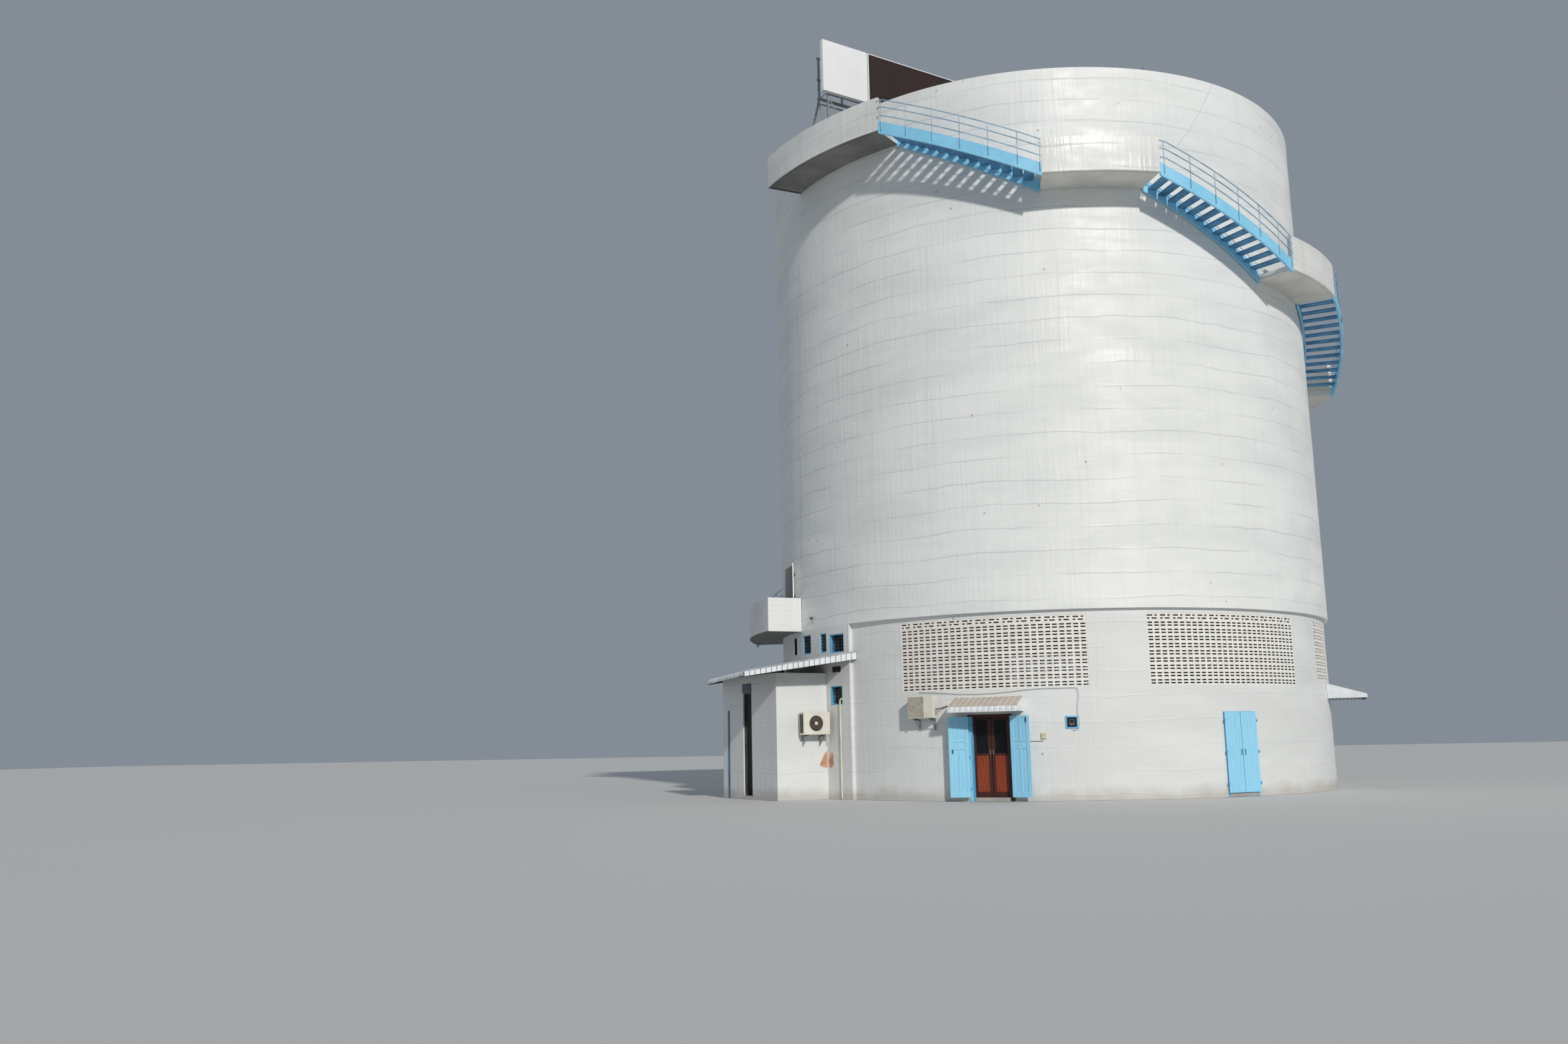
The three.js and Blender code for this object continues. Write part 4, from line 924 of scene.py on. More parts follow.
def boarded_leaf(name, body, side):
    """A leaf of upright boards with three ledges."""
    shape = leaf_shape(SERVICE_DOOR, side, OUTER_AXIS)
    front, back = OUTER_LEAF
    low, high = sorted((-side * 0.0125, -side * 0.556))
    boards(shape, low, high, 5, 0.001, front, back - 0.012, LEAF_BOTTOM, OUTER_LEAF_TOP, 0, 0.004)
    for z in (0.35, 1.2, 2.0):
        shape.block(low + 0.01, high - 0.01, back - 0.013, back, z - 0.06, z + 0.06, 0, 0.003)
    hinges(shape, side, back * 0.6, 2)
    pull(shape, -side * 0.5, front, 0.028, 1.1, 1.25, 0.01, 1)
    shape.dress(name, "door_blue black_iron frame_blue", "blue", body)


HANDS = (("left", -1), ("right", 1))
door_frame("entrance_frame", ENTRANCE, "dark_wood", "wood", True)
for hand, side in HANDS:
    panelled_leaf(f"entrance_outer_leaf_{hand}", f"entrance_outer_{hand}", side, side * 170)
for hand, side in HANDS:
    glazed_leaf(f"entrance_inner_leaf_{hand}", f"entrance_inner_{hand}", side)

casing = Shape(turn(ENTRANCE))
casing.wall_blocks(0, (-0.6, -0.52, 8.594, 8.6285, 0.0, 2.26, 0, 0.003),
                   (0.52, 0.6, 8.594, 8.6285, 0.0, 2.26, 1, 0.003),
                   (-0.6, 0.6, 8.594, 8.6285, 2.235, 2.3, 1, 0.003))
casing.make("entrance_casing", "door_blue dark_wood")

door_frame("service_door_frame", SERVICE_DOOR, "frame_blue", "blue", False)
for hand, side in HANDS:
    boarded_leaf(f"service_door_leaf_{hand}", f"service_{hand}", side)

side_door = Shape(turn(SIDE_DOOR))
side_door.wall_blocks(8.5, *((x0, x1, 0, 0.06, z0, z1, 0, 0.004) for x0, x1, z0, z1 in (
    (-0.5297, -0.47, 0, 2.2597), (0.47, 0.5297, 0, 2.2597), (-0.47, 0.47, 2.2, 2.2597),
    (-0.47, 0.47, 0, 0.1))))
boards(side_door, -0.47, 0.47, 8, 0.001, -8.545, -8.51, 0.1, 2.2, 0, 0.004)
pull(side_door, 0.38, -8.545, 0.013, 1.05, 1.21, 0.01, 1, 0.006)
side_door.dress("side_door", "door_blue black_iron", "blue")

# The upper door leaf, open beside its doorway
leaf_reach = DRUM * FACET_REACH
upper_leaf = Shape(turn(LEAF_FACET) @ Matrix.Translation((0.14, -leaf_reach - 0.02, 0)) @ turn(-16.6))
upper_leaf.block(0.01, 0.51, -0.035, 0, FIRST_FLOOR + 0.02, UPPER_DOOR[3] - 0.02, 0, 0.004)
for z0, z1 in ((5.32, 6.12), (6.26, 7.08)):
    for y in (-0.0358, -0.0012):
        upper_leaf.block(0.08, 0.44, y, y + 0.002, z0, z1, 0, 0.0008)
upper_leaf.place = turn(LEAF_FACET)
for height in (0.25, 0.95, 1.65):
    z = FIRST_FLOOR + height
    upper_leaf.wall_blocks(leaf_reach, (0.13, 0.2, GAP, 0.045, z, z + 0.09, 1, 0.003))
upper_leaf.dress("upper_door_leaf", "white_board black_iron", "pale_board")


# Ribbed awnings and the annex roof. A section across a sheet is pairs of place and height.

def raised_ribs(x0, x1):
    """Narrow ribs over a flat sheet."""
    count = max(1, round((x1 - x0) / RIB_PITCH))
    section = [(x0, 0.0)]
    for index in range(count):
        middle = x0 + (index + 0.5) * ((x1 - x0) / count)
        section += [(middle + shift, up) for shift, up in
                    ((-0.035, 0.0), (-0.035 * 0.55, 0.022), (0.035 * 0.55, 0.022), (0.035, 0.0))]
    return section + [(x1, 0.0)]


def round_segments(x0, x1, count, swell):
    """Rounded segments side by side."""
    wide = (x1 - x0) / count
    return [(x0 + (index + share) * wide, height * swell) for index in range(count) for share, height in (
        (0.0, 0.0), (0.06, 0.42), (0.22, 0.84), (0.5, 1.0), (0.78, 0.84), (0.94, 0.42))] + [(x1, 0.0)]


def ribbed_sheet(shape, path, section, under):
    """A sheet along a path of reach and height. Its first row is the upper edge, with its own mark."""
    rib, thick = max(up for _, up in section), 0.004
    points, faces, marks = [], [], []
    for layer in (0, 1):
        for index, (reach, z) in enumerate(path):
            along = Vector(path[min(len(path) - 1, index + 1)]) - Vector(path[max(0, index - 1)])
            along.normalize()
            for x, up in section:
                lift = up - rib - thick * layer
                points.append((x, -(reach - along.y * lift), z + along.x * lift))
    wide, deep = len(section), len(path)
    size = wide * deep
    for row in range(deep - 1):
        for a in range(row * wide, row * wide + wide - 1):
            b = size + a
            faces += [(a, a + 1, a + wide + 1, a + wide), (b, b + wide, b + wide + 1, b + 1)]
            marks += [min(row, 1), under]
    for row in range(deep - 1):
        for a in (row * wide, row * wide + wide - 1):
            faces.append((a, a + wide, size + a + wide, size + a))
            marks.append(min(row, 1))
    for row in (0, deep - 1):
        for a in range(row * wide, row * wide + wide - 1):
            faces.append((a, a + 1, size + a + 1, size + a))
            marks.append(min(max(0, row - 1), 1))
    shape.add(points, faces, marks)


def eave_path(back, back_z, front, front_z, drop, radius, steps=6):
    """Down the slope, round the front edge and down its lip. Normals point up and outward."""
    slope = math.atan2(back_z - front_z, front - back)
    path = [(back, back_z)]
    for index in range(steps + 1):
        angle = math.pi / 2 - slope - (math.pi / 2 - slope) * index / steps
        path.append((front - radius + radius * math.cos(angle), front_z - radius + radius * math.sin(angle)))
    return path + [(front, front_z - drop)]


def awning(name, azimuth, half, front, back_z, front_z, lip_z, segments, cheek_ribs, material):
    shape = Shape(turn(azimuth))
    slope = (back_z - front_z) / (front - BASE)
    start = math.sqrt(BASE * BASE - half * half) + 0.004
    start_z = front_z + (front - start) * slope
    inset = half - 0.012
    # Upper layer: the slope, then the rounded edge and lip in the near-white sheet with painted highlight
    # (mark 1); lower layer: mark 3, painted shade under the awning
    ribbed_sheet(shape, eave_path(start, start_z, front, front_z, front_z - lip_z, 0.06),
                 round_segments(-inset, inset, segments, 0.014), 3)
    for index in range(1, segments):
        x = 2 * inset * index / segments - inset
        shape.along_wall([(start, start_z - 0.016), (front - 0.06, front_z - 0.012),
                          (front - 0.06, front_z - 0.002), (start, start_z - 0.006)], x - 0.005, x + 0.005, 1)
    lead = front - 0.02
    for side in (-1, 1):
        shape.along_wall([(start, start_z - 0.016), (lead - 0.03, front_z - 0.012), (lead, front_z - 0.05),
                          (lead, lip_z + 0.01), (start, lip_z + 0.01)],
                         *sorted((side * half, side * inset)), 1)
        reach = start + 0.08
        # Cheek ribs in the darker galvanised paint, which paints the shade lines along them
        while cheek_ribs and reach < lead - 0.05:
            shape.block(side * (half - 0.001), side * (half - 0.014), -reach - 0.012, -reach + 0.012,
                        lip_z + 0.012, front_z + (front - reach) * slope - 0.05, 2)
            reach += 0.11
    shape.wall_blocks(front, (0.02 - half, half - 0.02, -0.045, -0.025, lip_z + 0.001, lip_z + 0.045, 4, 0.0))
    for x in (-half * 0.92, 0, half * 0.92):
        shape.bar((x, -start - 0.01, start_z - 0.06), (x, -front + 0.07, front_z - 0.055), 0.03, 0.03, 2)
    shape.dress(name, material + " lip_sheet galvanised sheet_back red_paint", "roofing")


awning("entrance_awning", -10.7, 0.945, 9.45, 2.765, 2.505, 2.355, 12, False, "beige_sheet")
awning("side_awning", SIDE_DOOR, 1.33, 9.62, 3.085, 2.79, 2.65, 14, True, "roof_sheet")

SERVICE_END_X = DRUM * math.sin(math.radians(SERVICE_TO - ROOF)) + 0.012


def roof_height(reach):
    return ROOF_EAVE_TOP + (ROOF_EAVE - reach) * ROOF_SLOPE


def verge_foot(reach):
    """The verge is deeper near the wall than at the eave."""
    return roof_height(reach) - (0.17 + (ROOF_EAVE - reach) * 0.0197)


def wall_reach(x):
    """How far out the wall stands under a point of the roof's upper edge."""
    radius = (DRUM if x < SERVICE_END_X else BASE) + 0.012
    return math.sqrt(radius * radius - x * x)


annex_roof = Shape(turn(ROOF))
count = round((SERVICE_END_X - ROOF_FAR) / RIB_PITCH)
edges = [ROOF_FAR + (SERVICE_END_X - ROOF_FAR) * index / count for index in range(count + 1)] + [ROOF_NEAR]
for x0, x1 in zip(edges, edges[1:]):
    reach = DRUM + 0.012 if x0 < 0 < x1 else max(wall_reach(x0 + 0.0001), wall_reach(x1 - 0.0001))
    path = eave_path(reach, roof_height(reach), ROOF_EAVE, ROOF_EAVE_TOP, 0.15, 0.09)
    # The lower layer takes mark 6, painted shade under the roof
    ribbed_sheet(annex_roof, path, raised_ribs(x0, x1), 6)
for side, verge in ((-1, ROOF_FAR), (1, ROOF_NEAR)):
    x0, x1 = sorted((verge - side * 0.013, verge - side * 0.02))
    reach = wall_reach(x0)
    # The verge board behind the panels takes mark 4, painted shade in the gaps between them
    annex_roof.along_wall([
        (reach, roof_height(reach) - 0.03), (ROOF_EAVE - 0.1, roof_height(ROOF_EAVE - 0.1) - 0.03),
        (ROOF_EAVE - 0.02, ROOF_EAVE_TOP - 0.09), (ROOF_EAVE - 0.02, ROOF_EAVE_TOP - 0.17),
        (reach, verge_foot(reach))], x0, x1, 4)
    panel = reach + VERGE_PANEL / 2
    while panel < ROOF_EAVE - 0.08:
        outline = [(verge - side * sunk, panel + along) for along, sunk in (
            (-0.073, 0.0125), (-0.068, 0.005), (-0.035, 0.0), (0.035, 0.0), (0.068, 0.005), (0.073, 0.0125))]
        annex_roof.rings([[(x, -r, verge_foot(r) + 0.002) for x, r in outline],
                          [(x, -r, roof_height(r) - 0.034) for x, r in outline]], 2)
        panel += VERGE_PANEL
    spine = [(r, roof_height(r) - 0.02) for r in (reach, (reach + ROOF_EAVE) / 2, ROOF_EAVE - 0.08)]
    spine.append((ROOF_EAVE - 0.03, ROOF_EAVE_TOP - 0.05))
    annex_roof.tube([(verge - side * 0.02, -r, z) for r, z in spine], 0.028, 5, 10)
# Purlins under the roof, in the mark 6 painted shade
for reach in (9.3, 10.2, 11.0):
    z = roof_height(reach) - 0.075
    annex_roof.wall_blocks(
        reach, (ROOF_FAR + 0.03, ROOF_NEAR - 0.03, -0.025, 0.025, z - 0.05, z + 0.03, 6, 0.0))
annex_roof.dress("annex_roof", "roof_sheet bright_sheet lip_sheet galvanised sheet_back cap_grey roof_under",
                 "roofing")

# Annex details: a panel over the doorway, the doorway's lining and the narrow blue strip on the outer wall,
# its blue darkened as painted shade
annex_trim = Shape(turn(ANNEX))
annex_trim.wall_blocks(
    ANNEX_OUT,
    (-1.71, -1.1, -0.002, 0.014, 3.17, 3.44, 0, 0.003),
    (-1.68, -1.13, 0.01, 0.018, 3.2, 3.41, 0, 0.002),
    (-1.8597, -1.7, -0.129, -0.001, 0.1003, 3.1697, 3, 0.002),
    (-1.7, -1.66, -0.12, -0.04, 0.1003, 3.1697, 1, 0.003),
    (-1.15, -1.1103, -0.12, -0.04, 0.1003, 3.1697, 1, 0.003),
    (-1.66, -1.15, -0.12, -0.04, 3.12, 3.1697, 1, 0.003),
    (-2.765, -2.645, -0.002, 0.012, 0.0, 2.67, 2, 0.003))
annex_trim.make("annex_trim", "transom_blue dark_grille strip_blue base_paint")

for node, material in (("annex_walls", "base_paint"), ("ground_slab", "floor_concrete"),
                       ("first_floor_slab", "floor_concrete"), ("roof_deck", "floor_concrete")):
    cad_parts[node].data.materials.clear()
    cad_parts[node].data.materials.append(PAINTS[material])


# Outdoor units

def outdoor_unit(name, place, x0, x1, front, back, z0, z1, wall, round_fan):
    """A casing with a fan grille in front, a cover for its valves at one end, feet and brackets.
    Its front faces -y of the frame it is built in."""
    shape = Shape(place)
    split = x0 + (x1 - x0) * 0.66
    shape.block(x0, x1, front + 0.012, back, z0 + 0.02, z1, 0, 0.012)
    shape.block(x0 + 0.004, split - 0.003, front, front + 0.02, z0 + 0.024, z1 - 0.004, 0, 0.008)
    shape.block(split + 0.003, x1 - 0.004, front + 0.002, front + 0.02, z0 + 0.024, z1 - 0.004, 0, 0.008)
    if round_fan:
        middle_x, middle_z, size = x0 + 0.41, (z0 + z1) / 2 + 0.01, 0.225

        def spot(radius, angle, y):
            return (middle_x + radius * math.cos(angle), y, middle_z + radius * math.sin(angle))

        # A dark brown disc fills the fan opening as painted shade; the grille rings and spokes share its
        # colour
        shape.lathe((middle_x, front - 0.001, middle_z), (0, -1, 0), [
            (size, -0.004), (size, 0.006), (size - 0.012, 0.008), (size - 0.014, 0.0), (0.0005, 0.0)], 5, 40)
        for ring in range(1, 9):
            shape.tube([spot(size * ring / 9, 2 * math.pi * k / 36, front - 0.005) for k in range(36)],
                       0.003, 5, 5, True)
        shape.lathe((middle_x, front - 0.002, middle_z), (0, -1, 0),
                    [(0.05, 0.0), (0.05, 0.008), (0.03, 0.014), (0.0005, 0.015)], 0, 24)
        for k in range(8):
            inner, outer = (spot(radius, math.pi * k / 4, front - 0.006) for radius in (0.05, size))
            shape.bar(inner, outer, 0.005, 0.004, 5)
        pipe = front + 0.16
        shape.tube([(x1 - 0.01, pipe, z0 + 0.2), (x1 + 0.02, pipe, z0 + 0.19), (x1 + 0.028, pipe, z0 + 0.14),
                    (x1 + 0.028, pipe, z0 - 0.2)], 0.013, 6)
    else:
        low_x, high_x, low_z, high_z = x0 + 0.03, split - 0.03, z0 + 0.05, z1 - 0.03
        shape.block(low_x, high_x, front - 0.002, front + 0.004, low_z, high_z, 1, 0.002)
        for k in range(27):
            z = low_z + (high_z - low_z) * k / 26
            shape.tube([(x, front - 0.005, z) for x in (low_x, high_x)], 0.003, 1, 5)
        for k in range(7):
            x = low_x + (high_x - low_x) * k / 6
            shape.tube([(x, front - 0.007, z) for z in (low_z, high_z)], 0.003, 1, 5)
        shape.tube([(x1 - 0.01, back - 0.08, z0 + 0.27), (x1 + 0.05, back - 0.08, z0 + 0.265),
                    (x1 + 0.11, wall - 0.05, z0 + 0.3), (x1 + 0.2, wall - 0.012, z0 + 0.33),
                    (x1 + 0.26, wall + 0.02, z0 + 0.34)], 0.014, 4)
    for k in range(9):
        y = front + 0.05 + k * (back - front - 0.1) / 8
        shape.block(x0 - 0.0005, x0 + 0.004, y - 0.011, y + 0.011, z0 + 0.07, z1 - 0.06, 2)
    shape.block(x1 - 0.004, x1, front + 0.06, back - 0.05, z0 + 0.1, z0 + 0.3, 0, 0.002)
    for x in (x0 + 0.14, x1 - 0.18):
        shape.block(x, x + 0.04, front + 0.02, wall - GAP, z0 - 0.04, z0 - 0.002, 3, 0.003)
        shape.block(x, x + 0.04, wall - 0.04, wall - GAP, z0 - 0.3, z0 - 0.002, 3, 0.003)
        for y in (front + 0.05, back - 0.09):
            shape.block(x - 0.01, x + 0.05, y, y + 0.04, z0 - 0.004, z0 + 0.02, 4)
        shape.bar((x + 0.02, front + 0.1, z0 - 0.04), (x + 0.02, wall - 0.02, z0 - 0.26), 0.012, 0.03, 3)
    shape.dress(name, "cream_enamel grille_grey dark_grille galvanised black_iron fan_brown pipe_white",
                "appliance")


facet = BASE * FACET_REACH
outdoor_unit("outdoor_unit_right", turn(-22.5), -0.4, 0.4, -facet - 0.4, -facet - 0.11, 2.215, 2.845, -facet,
             False)
outdoor_unit("outdoor_unit_left", turn(ANNEX) @ Matrix.Translation((ANNEX_NEAR, 0, 0)) @ turn(90),
             -9.72, -8.84, -0.39, -0.1, 1.845, 2.52, 0.0, True)

# Roof sign

BAR_HALF, POST_HALF = SIGN_BAR / 2, SIGN_POST / 2
FRONT_PLANE = SIGN_BACK + POST_HALF


def sign_rail(shape, y, z, overhang=0.0):
    shape.angle_bar((SIGN_TRUSSES[0] - overhang, y - BAR_HALF, z - BAR_HALF),
                    (SIGN_TRUSSES[-1] + overhang, y - BAR_HALF, z - BAR_HALF), SIGN_BAR, 0.005, INWARD, UP)


def sign_post(shape, x, y, low, high):
    x, y = x - POST_HALF, y - POST_HALF
    shape.angle_bar((x, y, low), (x, y, high), SIGN_POST, 0.006)


def sign_foot(shape, x, y):
    shape.block(x - 0.09, x + 0.09, y - 0.08, y + 0.08, DECK, DECK + 0.012, 0, 0.002)


def leg_at(z):
    """How far back a leaning rear leg stands at a height."""
    return SIGN_REAR_POST + (SIGN_BOTTOM - z) / (SIGN_BOTTOM - DECK) * (SIGN_REAR_FOOT - SIGN_REAR_POST)


def tie_frame(name, front_z, rear_y, rear_z):
    shape = Shape(turn(SIGN))
    front_y = SIGN_BACK + SIGN_POST + BAR_HALF + GAP
    sign_rail(shape, front_y, front_z)
    sign_rail(shape, rear_y, rear_z)
    for x in SIGN_TRUSSES:
        shape.bar((x, front_y, front_z), (x, rear_y, rear_z), 0.006, SIGN_BAR)
    shape.dress(name, "galvanised", "galvanised")


front_frame = Shape(turn(SIGN))
for x in SIGN_TRUSSES:
    sign_post(front_frame, x, FRONT_PLANE, DECK, SIGN_TOP - 0.02)
    sign_foot(front_frame, x, FRONT_PLANE)
for z in (SIGN_BOTTOM, 23.8, SIGN_TOP - 0.12):
    sign_rail(front_frame, FRONT_PLANE, z)
for before, after in zip(SIGN_TRUSSES, SIGN_TRUSSES[1:]):
    front_frame.bar((before, FRONT_PLANE, SIGN_BOTTOM - 0.04), (after, FRONT_PLANE, DECK + 0.06), SIGN_BAR,
                    0.006, guide=INWARD)
front_frame.dress("sign_front_frame", "galvanised", "galvanised")

rear_frame = Shape(turn(SIGN))
for x in SIGN_TRUSSES:
    sign_post(rear_frame, x, SIGN_REAR_POST, SIGN_BOTTOM, SIGN_REAR_TOP)
    rear_frame.angle_bar((x - POST_HALF, SIGN_REAR_POST - POST_HALF, SIGN_BOTTOM + POST_HALF),
                         (x - POST_HALF, SIGN_REAR_FOOT - POST_HALF, DECK), SIGN_POST, 0.006)
    sign_foot(rear_frame, x, SIGN_REAR_FOOT)
for before, after in zip(SIGN_TRUSSES, SIGN_TRUSSES[1:]):
    sign_post(rear_frame, (before + after) / 2, SIGN_REAR_POST, SIGN_BOTTOM, SIGN_REAR_TOP)
for z in (SIGN_BOTTOM + 0.03, 23.65, SIGN_REAR_TOP - 0.06):
    sign_rail(rear_frame, SIGN_REAR_POST, z, 0.09)
sign_rail(rear_frame, leg_at(SIGN_LOW_RAIL), SIGN_LOW_RAIL)
rear_frame.dress("sign_rear_frame", "galvanised", "galvanised")

brace_top, tie_gap = SIGN_BOTTOM - 0.12, POST_HALF + BAR_HALF + GAP
tie_frame("sign_middle_ties", SIGN_TIE, SIGN_REAR_POST - tie_gap, SIGN_TIE)
tie_frame("sign_braces", SIGN_LOW_RAIL, leg_at(brace_top + BAR_HALF) - tie_gap, brace_top)


def sign_tray(x0, x1, sheet_front, mark):
    """A sheet with a deep rim, open behind."""
    shape = Shape(turn(SIGN))
    shape.block(x0 + 0.004, x1 - 0.004, sheet_front, SIGN_FRONT + 0.02, SIGN_BOTTOM + 0.004, SIGN_TOP - 0.004)
    shape.frame(x0, x1, SIGN_FRONT + 0.002, SIGN_BACK - GAP, SIGN_BOTTOM, SIGN_TOP, 0.03, 0.003, mark)
    return shape


pale = sign_tray(SIGN_FROM, SIGN_PALE_TO, SIGN_FRONT, 0)
pale.dress("sign_pale_board", "white_board", "pale_board")

dark_from = SIGN_PALE_TO + 0.04
dark = sign_tray(dark_from, SIGN_TO, SIGN_FRONT + 0.014, 1)
rib = dark_from + 0.07
while rib < SIGN_TO - 0.06:
    dark.rings([[(rib + shift, SIGN_FRONT + depth, z) for shift, depth in (
        (-0.022, 0.0145), (-0.014, 0.002), (0.014, 0.002), (0.022, 0.0145))]
        for z in (SIGN_BOTTOM + 0.03, SIGN_TOP - 0.03)])
    rib += 0.09
low, high = SIGN_BOTTOM + 0.004, SIGN_TOP - 0.004
inner_left, inner_right = dark_from + 0.035, SIGN_TO - 0.03
for x0, x1, z0, z1 in ((dark_from + 0.004, inner_left, low, high), (inner_right, SIGN_TO - 0.004, low, high),
                       (inner_left, inner_right, low, SIGN_BOTTOM + 0.03),
                       (inner_left, inner_right, SIGN_TOP - 0.03, high)):
    dark.block(x0, x1, SIGN_FRONT, SIGN_FRONT + 0.012, z0, z1, 1, 0.002)
dark.dress("sign_dark_board", "brown_board white_board", "dark_board")

# Small fittings

niche = Shape(turn(3.85))
niche.frame(-0.165, 0.165, -BASE - 0.018, 0.012 - BASE, 1.88, 2.21, 0.04, 0.003)
niche.wall_blocks(BASE, (-0.125, 0.125, -0.012, 0.002, 1.92, 2.17, 1, 0.0),
                  (-0.07, 0.07, -0.008, 0.014, 1.96, 2.12, 2, 0.004),
                  (-0.045, 0.045, 0.013, 0.017, 2.03, 2.1, 1, 0.001))
niche.make("meter_niche", "frame_blue deep_shade meter_grey")

junction = Shape(turn(-1.1))
junction.wall_blocks(BASE, (-0.07, 0.07, -0.012, 0.05, 1.62, 1.78, 0, 0.012),
                     (-0.05, 0.05, 0.05, 0.056, 1.64, 1.76, 0, 0.003))
junction.place = Matrix.Identity(4)
# The conduit, with a thin black tube just under it as a painted shadow line
for height, radius, mark in ((1.576, 0.01, 1), (1.562, 0.006, 2)):
    junction.tube([polar(BASE + 0.004, azimuth, height) for azimuth in (-1.25, -1.8, -2.4, -3.0, -3.6, -4.2)],
                  radius, mark)
junction.tube([polar(BASE + 0.004, -1.2, 1.64), polar(BASE + 0.004, -1.25, 1.576)], 0.01, 1)
junction.make("junction_box", "box_cream pipe_white black_iron")

METER_CABLE = [(-24.0, 2.955), (-19.8, 2.92), (-16.1, 2.865), (-12.6, 2.85), (-9.6, 2.862), (-6.7, 2.89),
               (-4.2, 2.925), (-1.6, 2.95), (1.3, 2.952), (4.0, 2.955), (4.9, 2.95), (5.2, 2.9), (5.28, 2.77),
               (5.1, 2.54), (4.93, 2.32), (5.08, 2.2), (5.15, 2.07), (5.15, 1.94), (4.95, 1.86), (4.4, 1.835),
               (4.0, 1.85)]
meter_cable = Shape()
for shift, radius in ((0.0, 0.0045), (0.018, 0.003)):
    meter_cable.tube([polar(BASE + 0.006, azimuth - shift * 12, z - shift) for azimuth, z in METER_CABLE],
                     radius, 0, 6)
meter_cable.make("meter_cable", "cap_grey")

wall_pipe = Shape()
wall_pipe.tube([polar(DRUM + out, azimuth, z) for out, azimuth, z in (
    (0.028, -42.85, 0.02), (0.028, -42.85, 2.78), (0.034, -42.7, 2.86), (0.03, -42.45, 2.89),
    (0.004, -42.3, 2.86))], 0.024, 0, 10)
for z in (0.5, 1.4, 2.3):
    wall_pipe.tube([polar(DRUM + out, -42.85, z) for out in (-0.01, 0.046)], 0.006, 1)
wall_pipe.make("service_wall_pipe", "pipe_white galvanised")

louvre = Shape(turn(-43.9))
louvre.wall_blocks(DRUM, (-0.19, 0.19, -0.012, 0.014, 3.67, 3.83, 0, 0.003), *(
    (-0.18, 0.18, 0.01, 0.022, 3.69 + slat * 0.034, 3.69 + slat * 0.034 + 0.014, 1, 0.002)
    for slat in range(4)))
louvre.make("service_louvre", "deep_shade dark_grille")

bracket = Shape(turn(-52.2))
bracket.wall_blocks(DRUM, (-0.012, 0.012, -0.01, 0.09, 5.4, 5.42, 0, 0.002),
                    (-0.012, 0.012, -0.01, 0.012, 5.2, 5.42, 0, 0.002))
for reach in (DRUM + 0.035, DRUM + 0.08):
    bracket.lathe((0, -reach, 5.4), (0, 0, -1), [(0.01, 0.0), (0.02, 0.015), (0.013, 0.03), (0.021, 0.045),
                                                 (0.014, 0.06), (0.0005, 0.064)], 1)
bracket.make("wire_bracket", "galvanised black_iron")

cables = Shape()
cables.tube([polar(DRUM + 0.002, 40.4 - 9.8 * k / 14,
                   20.6 - 2.19 * k / 14 - 0.12 * math.sin(math.pi * k / 14)) for k in range(15)], 0.003, 1, 6)
cables.tube([polar(DRUM + 0.003, -54.8 - 0.3 * math.sin(k * 0.9) - 0.11 * k, 16.8 - 0.61 * k)
             for k in range(17)], 0.003, 1, 6)
cables.bar(polar(DRUM - 0.05, 24.4, RIM - 0.02), polar(DRUM - 0.04, 24.5, RIM + 0.1), 0.016, 0.016)
cables.make("drum_cables", "black_iron galvanised")

bare_patch = Shape(turn(-46.3))
ragged = [(-0.1, 0.93), (-0.02, 0.9), (0.07, 0.95), (0.12, 1.04), (0.09, 1.16), (0.12, 1.27), (0.05, 1.36),
          (-0.04, 1.31), (-0.07, 1.2), (-0.13, 1.12), (-0.09, 1.02)]
bare_patch.rings([[(x, -reach, z) for x, z in ragged] for reach in (DRUM - 0.006, DRUM + 0.0005)])
bare_patch.place = turn(ANNEX)
ragged = [(8.74, 0.9), (8.9, 0.93), (9.02, 0.98), (8.96, 1.08), (8.9, 1.2), (8.85, 1.3), (8.78, 1.38),
          (8.74, 1.4)]
bare_patch.rings([[(x, -reach, z) for reach, z in ragged] for x in (ANNEX_NEAR - 0.005, ANNEX_NEAR + 0.0015)])
bare_patch.make("bare_patch", "peeled")

# Camera, stage and light


def place_in_scene(name, data):
    thing = bpy.data.objects.new(name, data)
    bpy.context.scene.collection.objects.link(thing)
    return thing


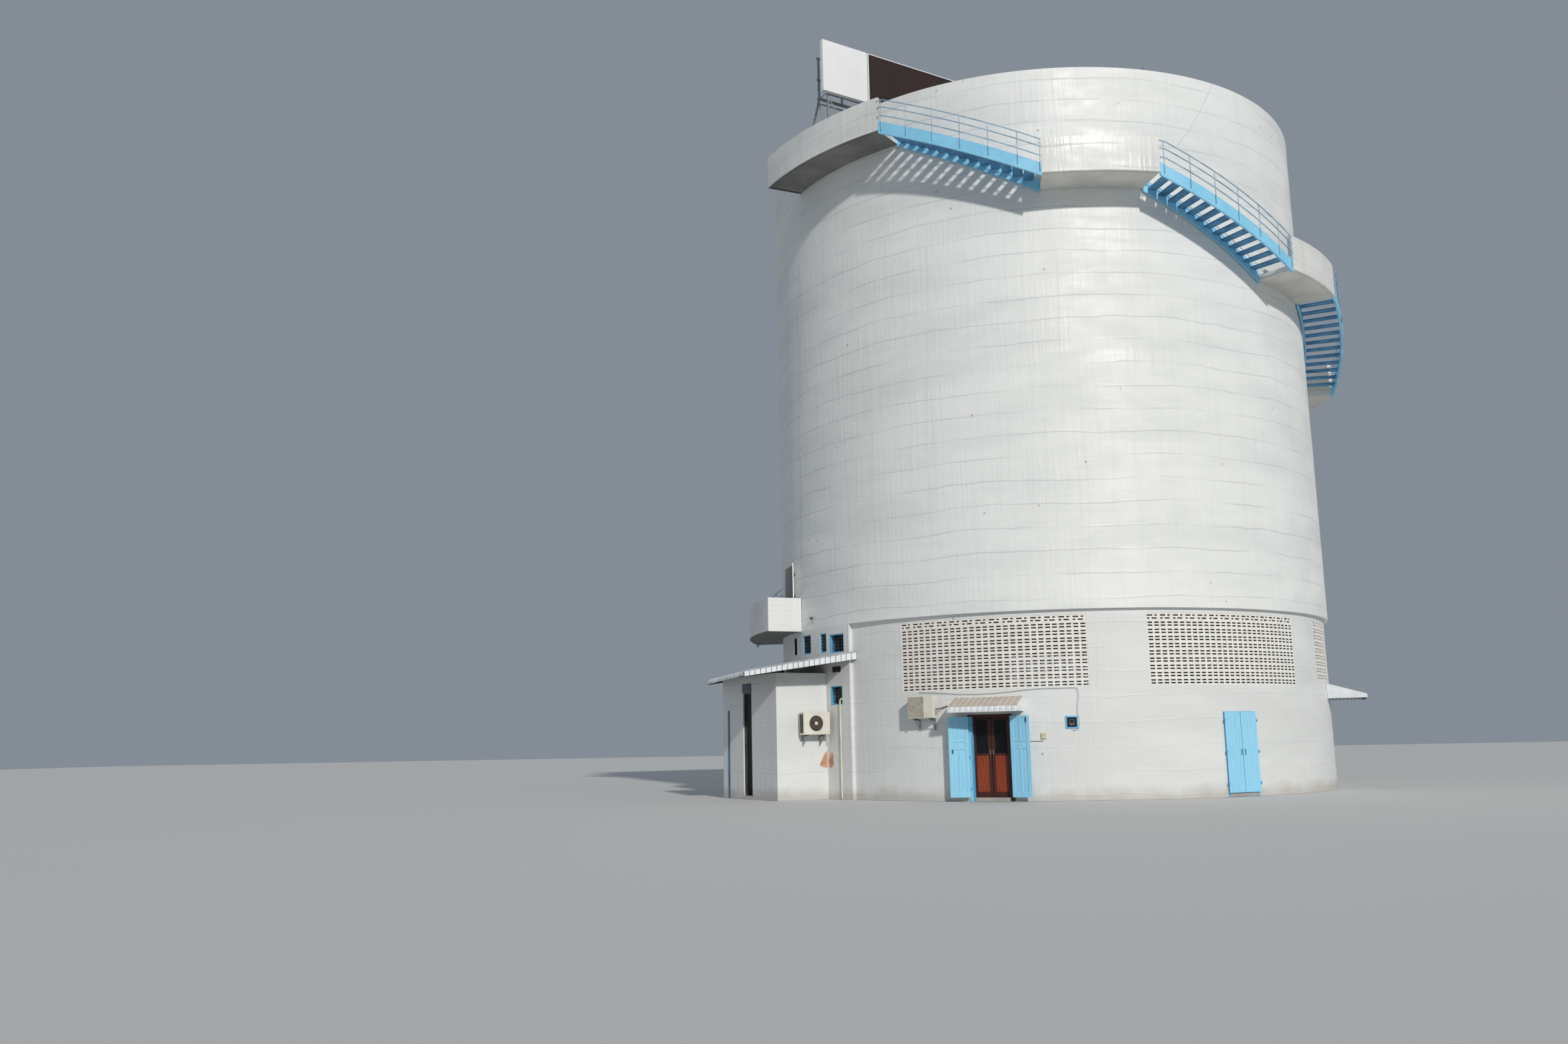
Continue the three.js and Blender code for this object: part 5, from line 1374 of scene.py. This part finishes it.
camera_data = bpy.data.cameras.new("photo_camera")
camera = place_in_scene("photo_camera", camera_data)
camera_data.sensor_fit = "HORIZONTAL"
camera_data.sensor_width = SENSOR_WIDTH
camera_data.lens = FOCAL_PIXELS / PHOTO_WIDTH * SENSOR_WIDTH
camera_data.clip_start = 0.1
camera_data.clip_end = 1000
level, upright = Vector((-math.sin(YAW), math.cos(YAW), 0)), Vector(UP)
right = Vector((math.cos(YAW), math.sin(YAW), 0))
forward = level * math.cos(PITCH) + upright * math.sin(PITCH)
upward = upright * math.cos(PITCH) - level * math.sin(PITCH)
side_axis = right * math.cos(ROLL) + upward * math.sin(ROLL)
top_axis = upward * math.cos(ROLL) - right * math.sin(ROLL)
axes = Matrix((side_axis, top_axis, -forward)).transposed()
camera.matrix_world = Matrix.Translation(CAMERA_PLACE) @ axes.to_4x4()
bpy.context.scene.camera = camera

floor_mesh = bpy.data.meshes.new("studio_floor")
floor_mesh.from_pydata([(x * FLOOR_HALF, y * FLOOR_HALF, FLOOR_LEVEL)
                        for x, y in ((-1, -1), (1, -1), (1, 1), (-1, 1))], [], [(0, 1, 2, 3)])
floor_paint = Paint("studio_floor")
floor_paint.finish(floor_paint.mix(floor_paint.noise(0.05, 2.0), (214, 214, 212), (208, 208, 206)), 0.9)
floor_mesh.materials.append(floor_paint.material)
floor = place_in_scene("studio_floor", floor_mesh)

world = bpy.data.worlds.new("studio_light")
world.use_nodes = True
background = world.node_tree.nodes["Background"]
background.inputs["Color"].default_value = (*linear((196, 208, 222)), 1.0)
background.inputs["Strength"].default_value = 0.42
bpy.context.scene.world = world

sun_data = bpy.data.lights.new("key_light", "SUN")
sun_data.energy = 2.25
sun_data.angle = math.radians(2.5)
sun_data.color = (1.0, 0.96, 0.9)
sun = place_in_scene("key_light", sun_data)
to_sun = polar(math.cos(math.radians(SUN_HEIGHT)), SUN_AZIMUTH, math.sin(math.radians(SUN_HEIGHT)))
sun.matrix_world = to_sun.to_track_quat("Z", "Y").to_matrix().to_4x4()

bpy.context.scene.view_settings.view_transform = "Standard"
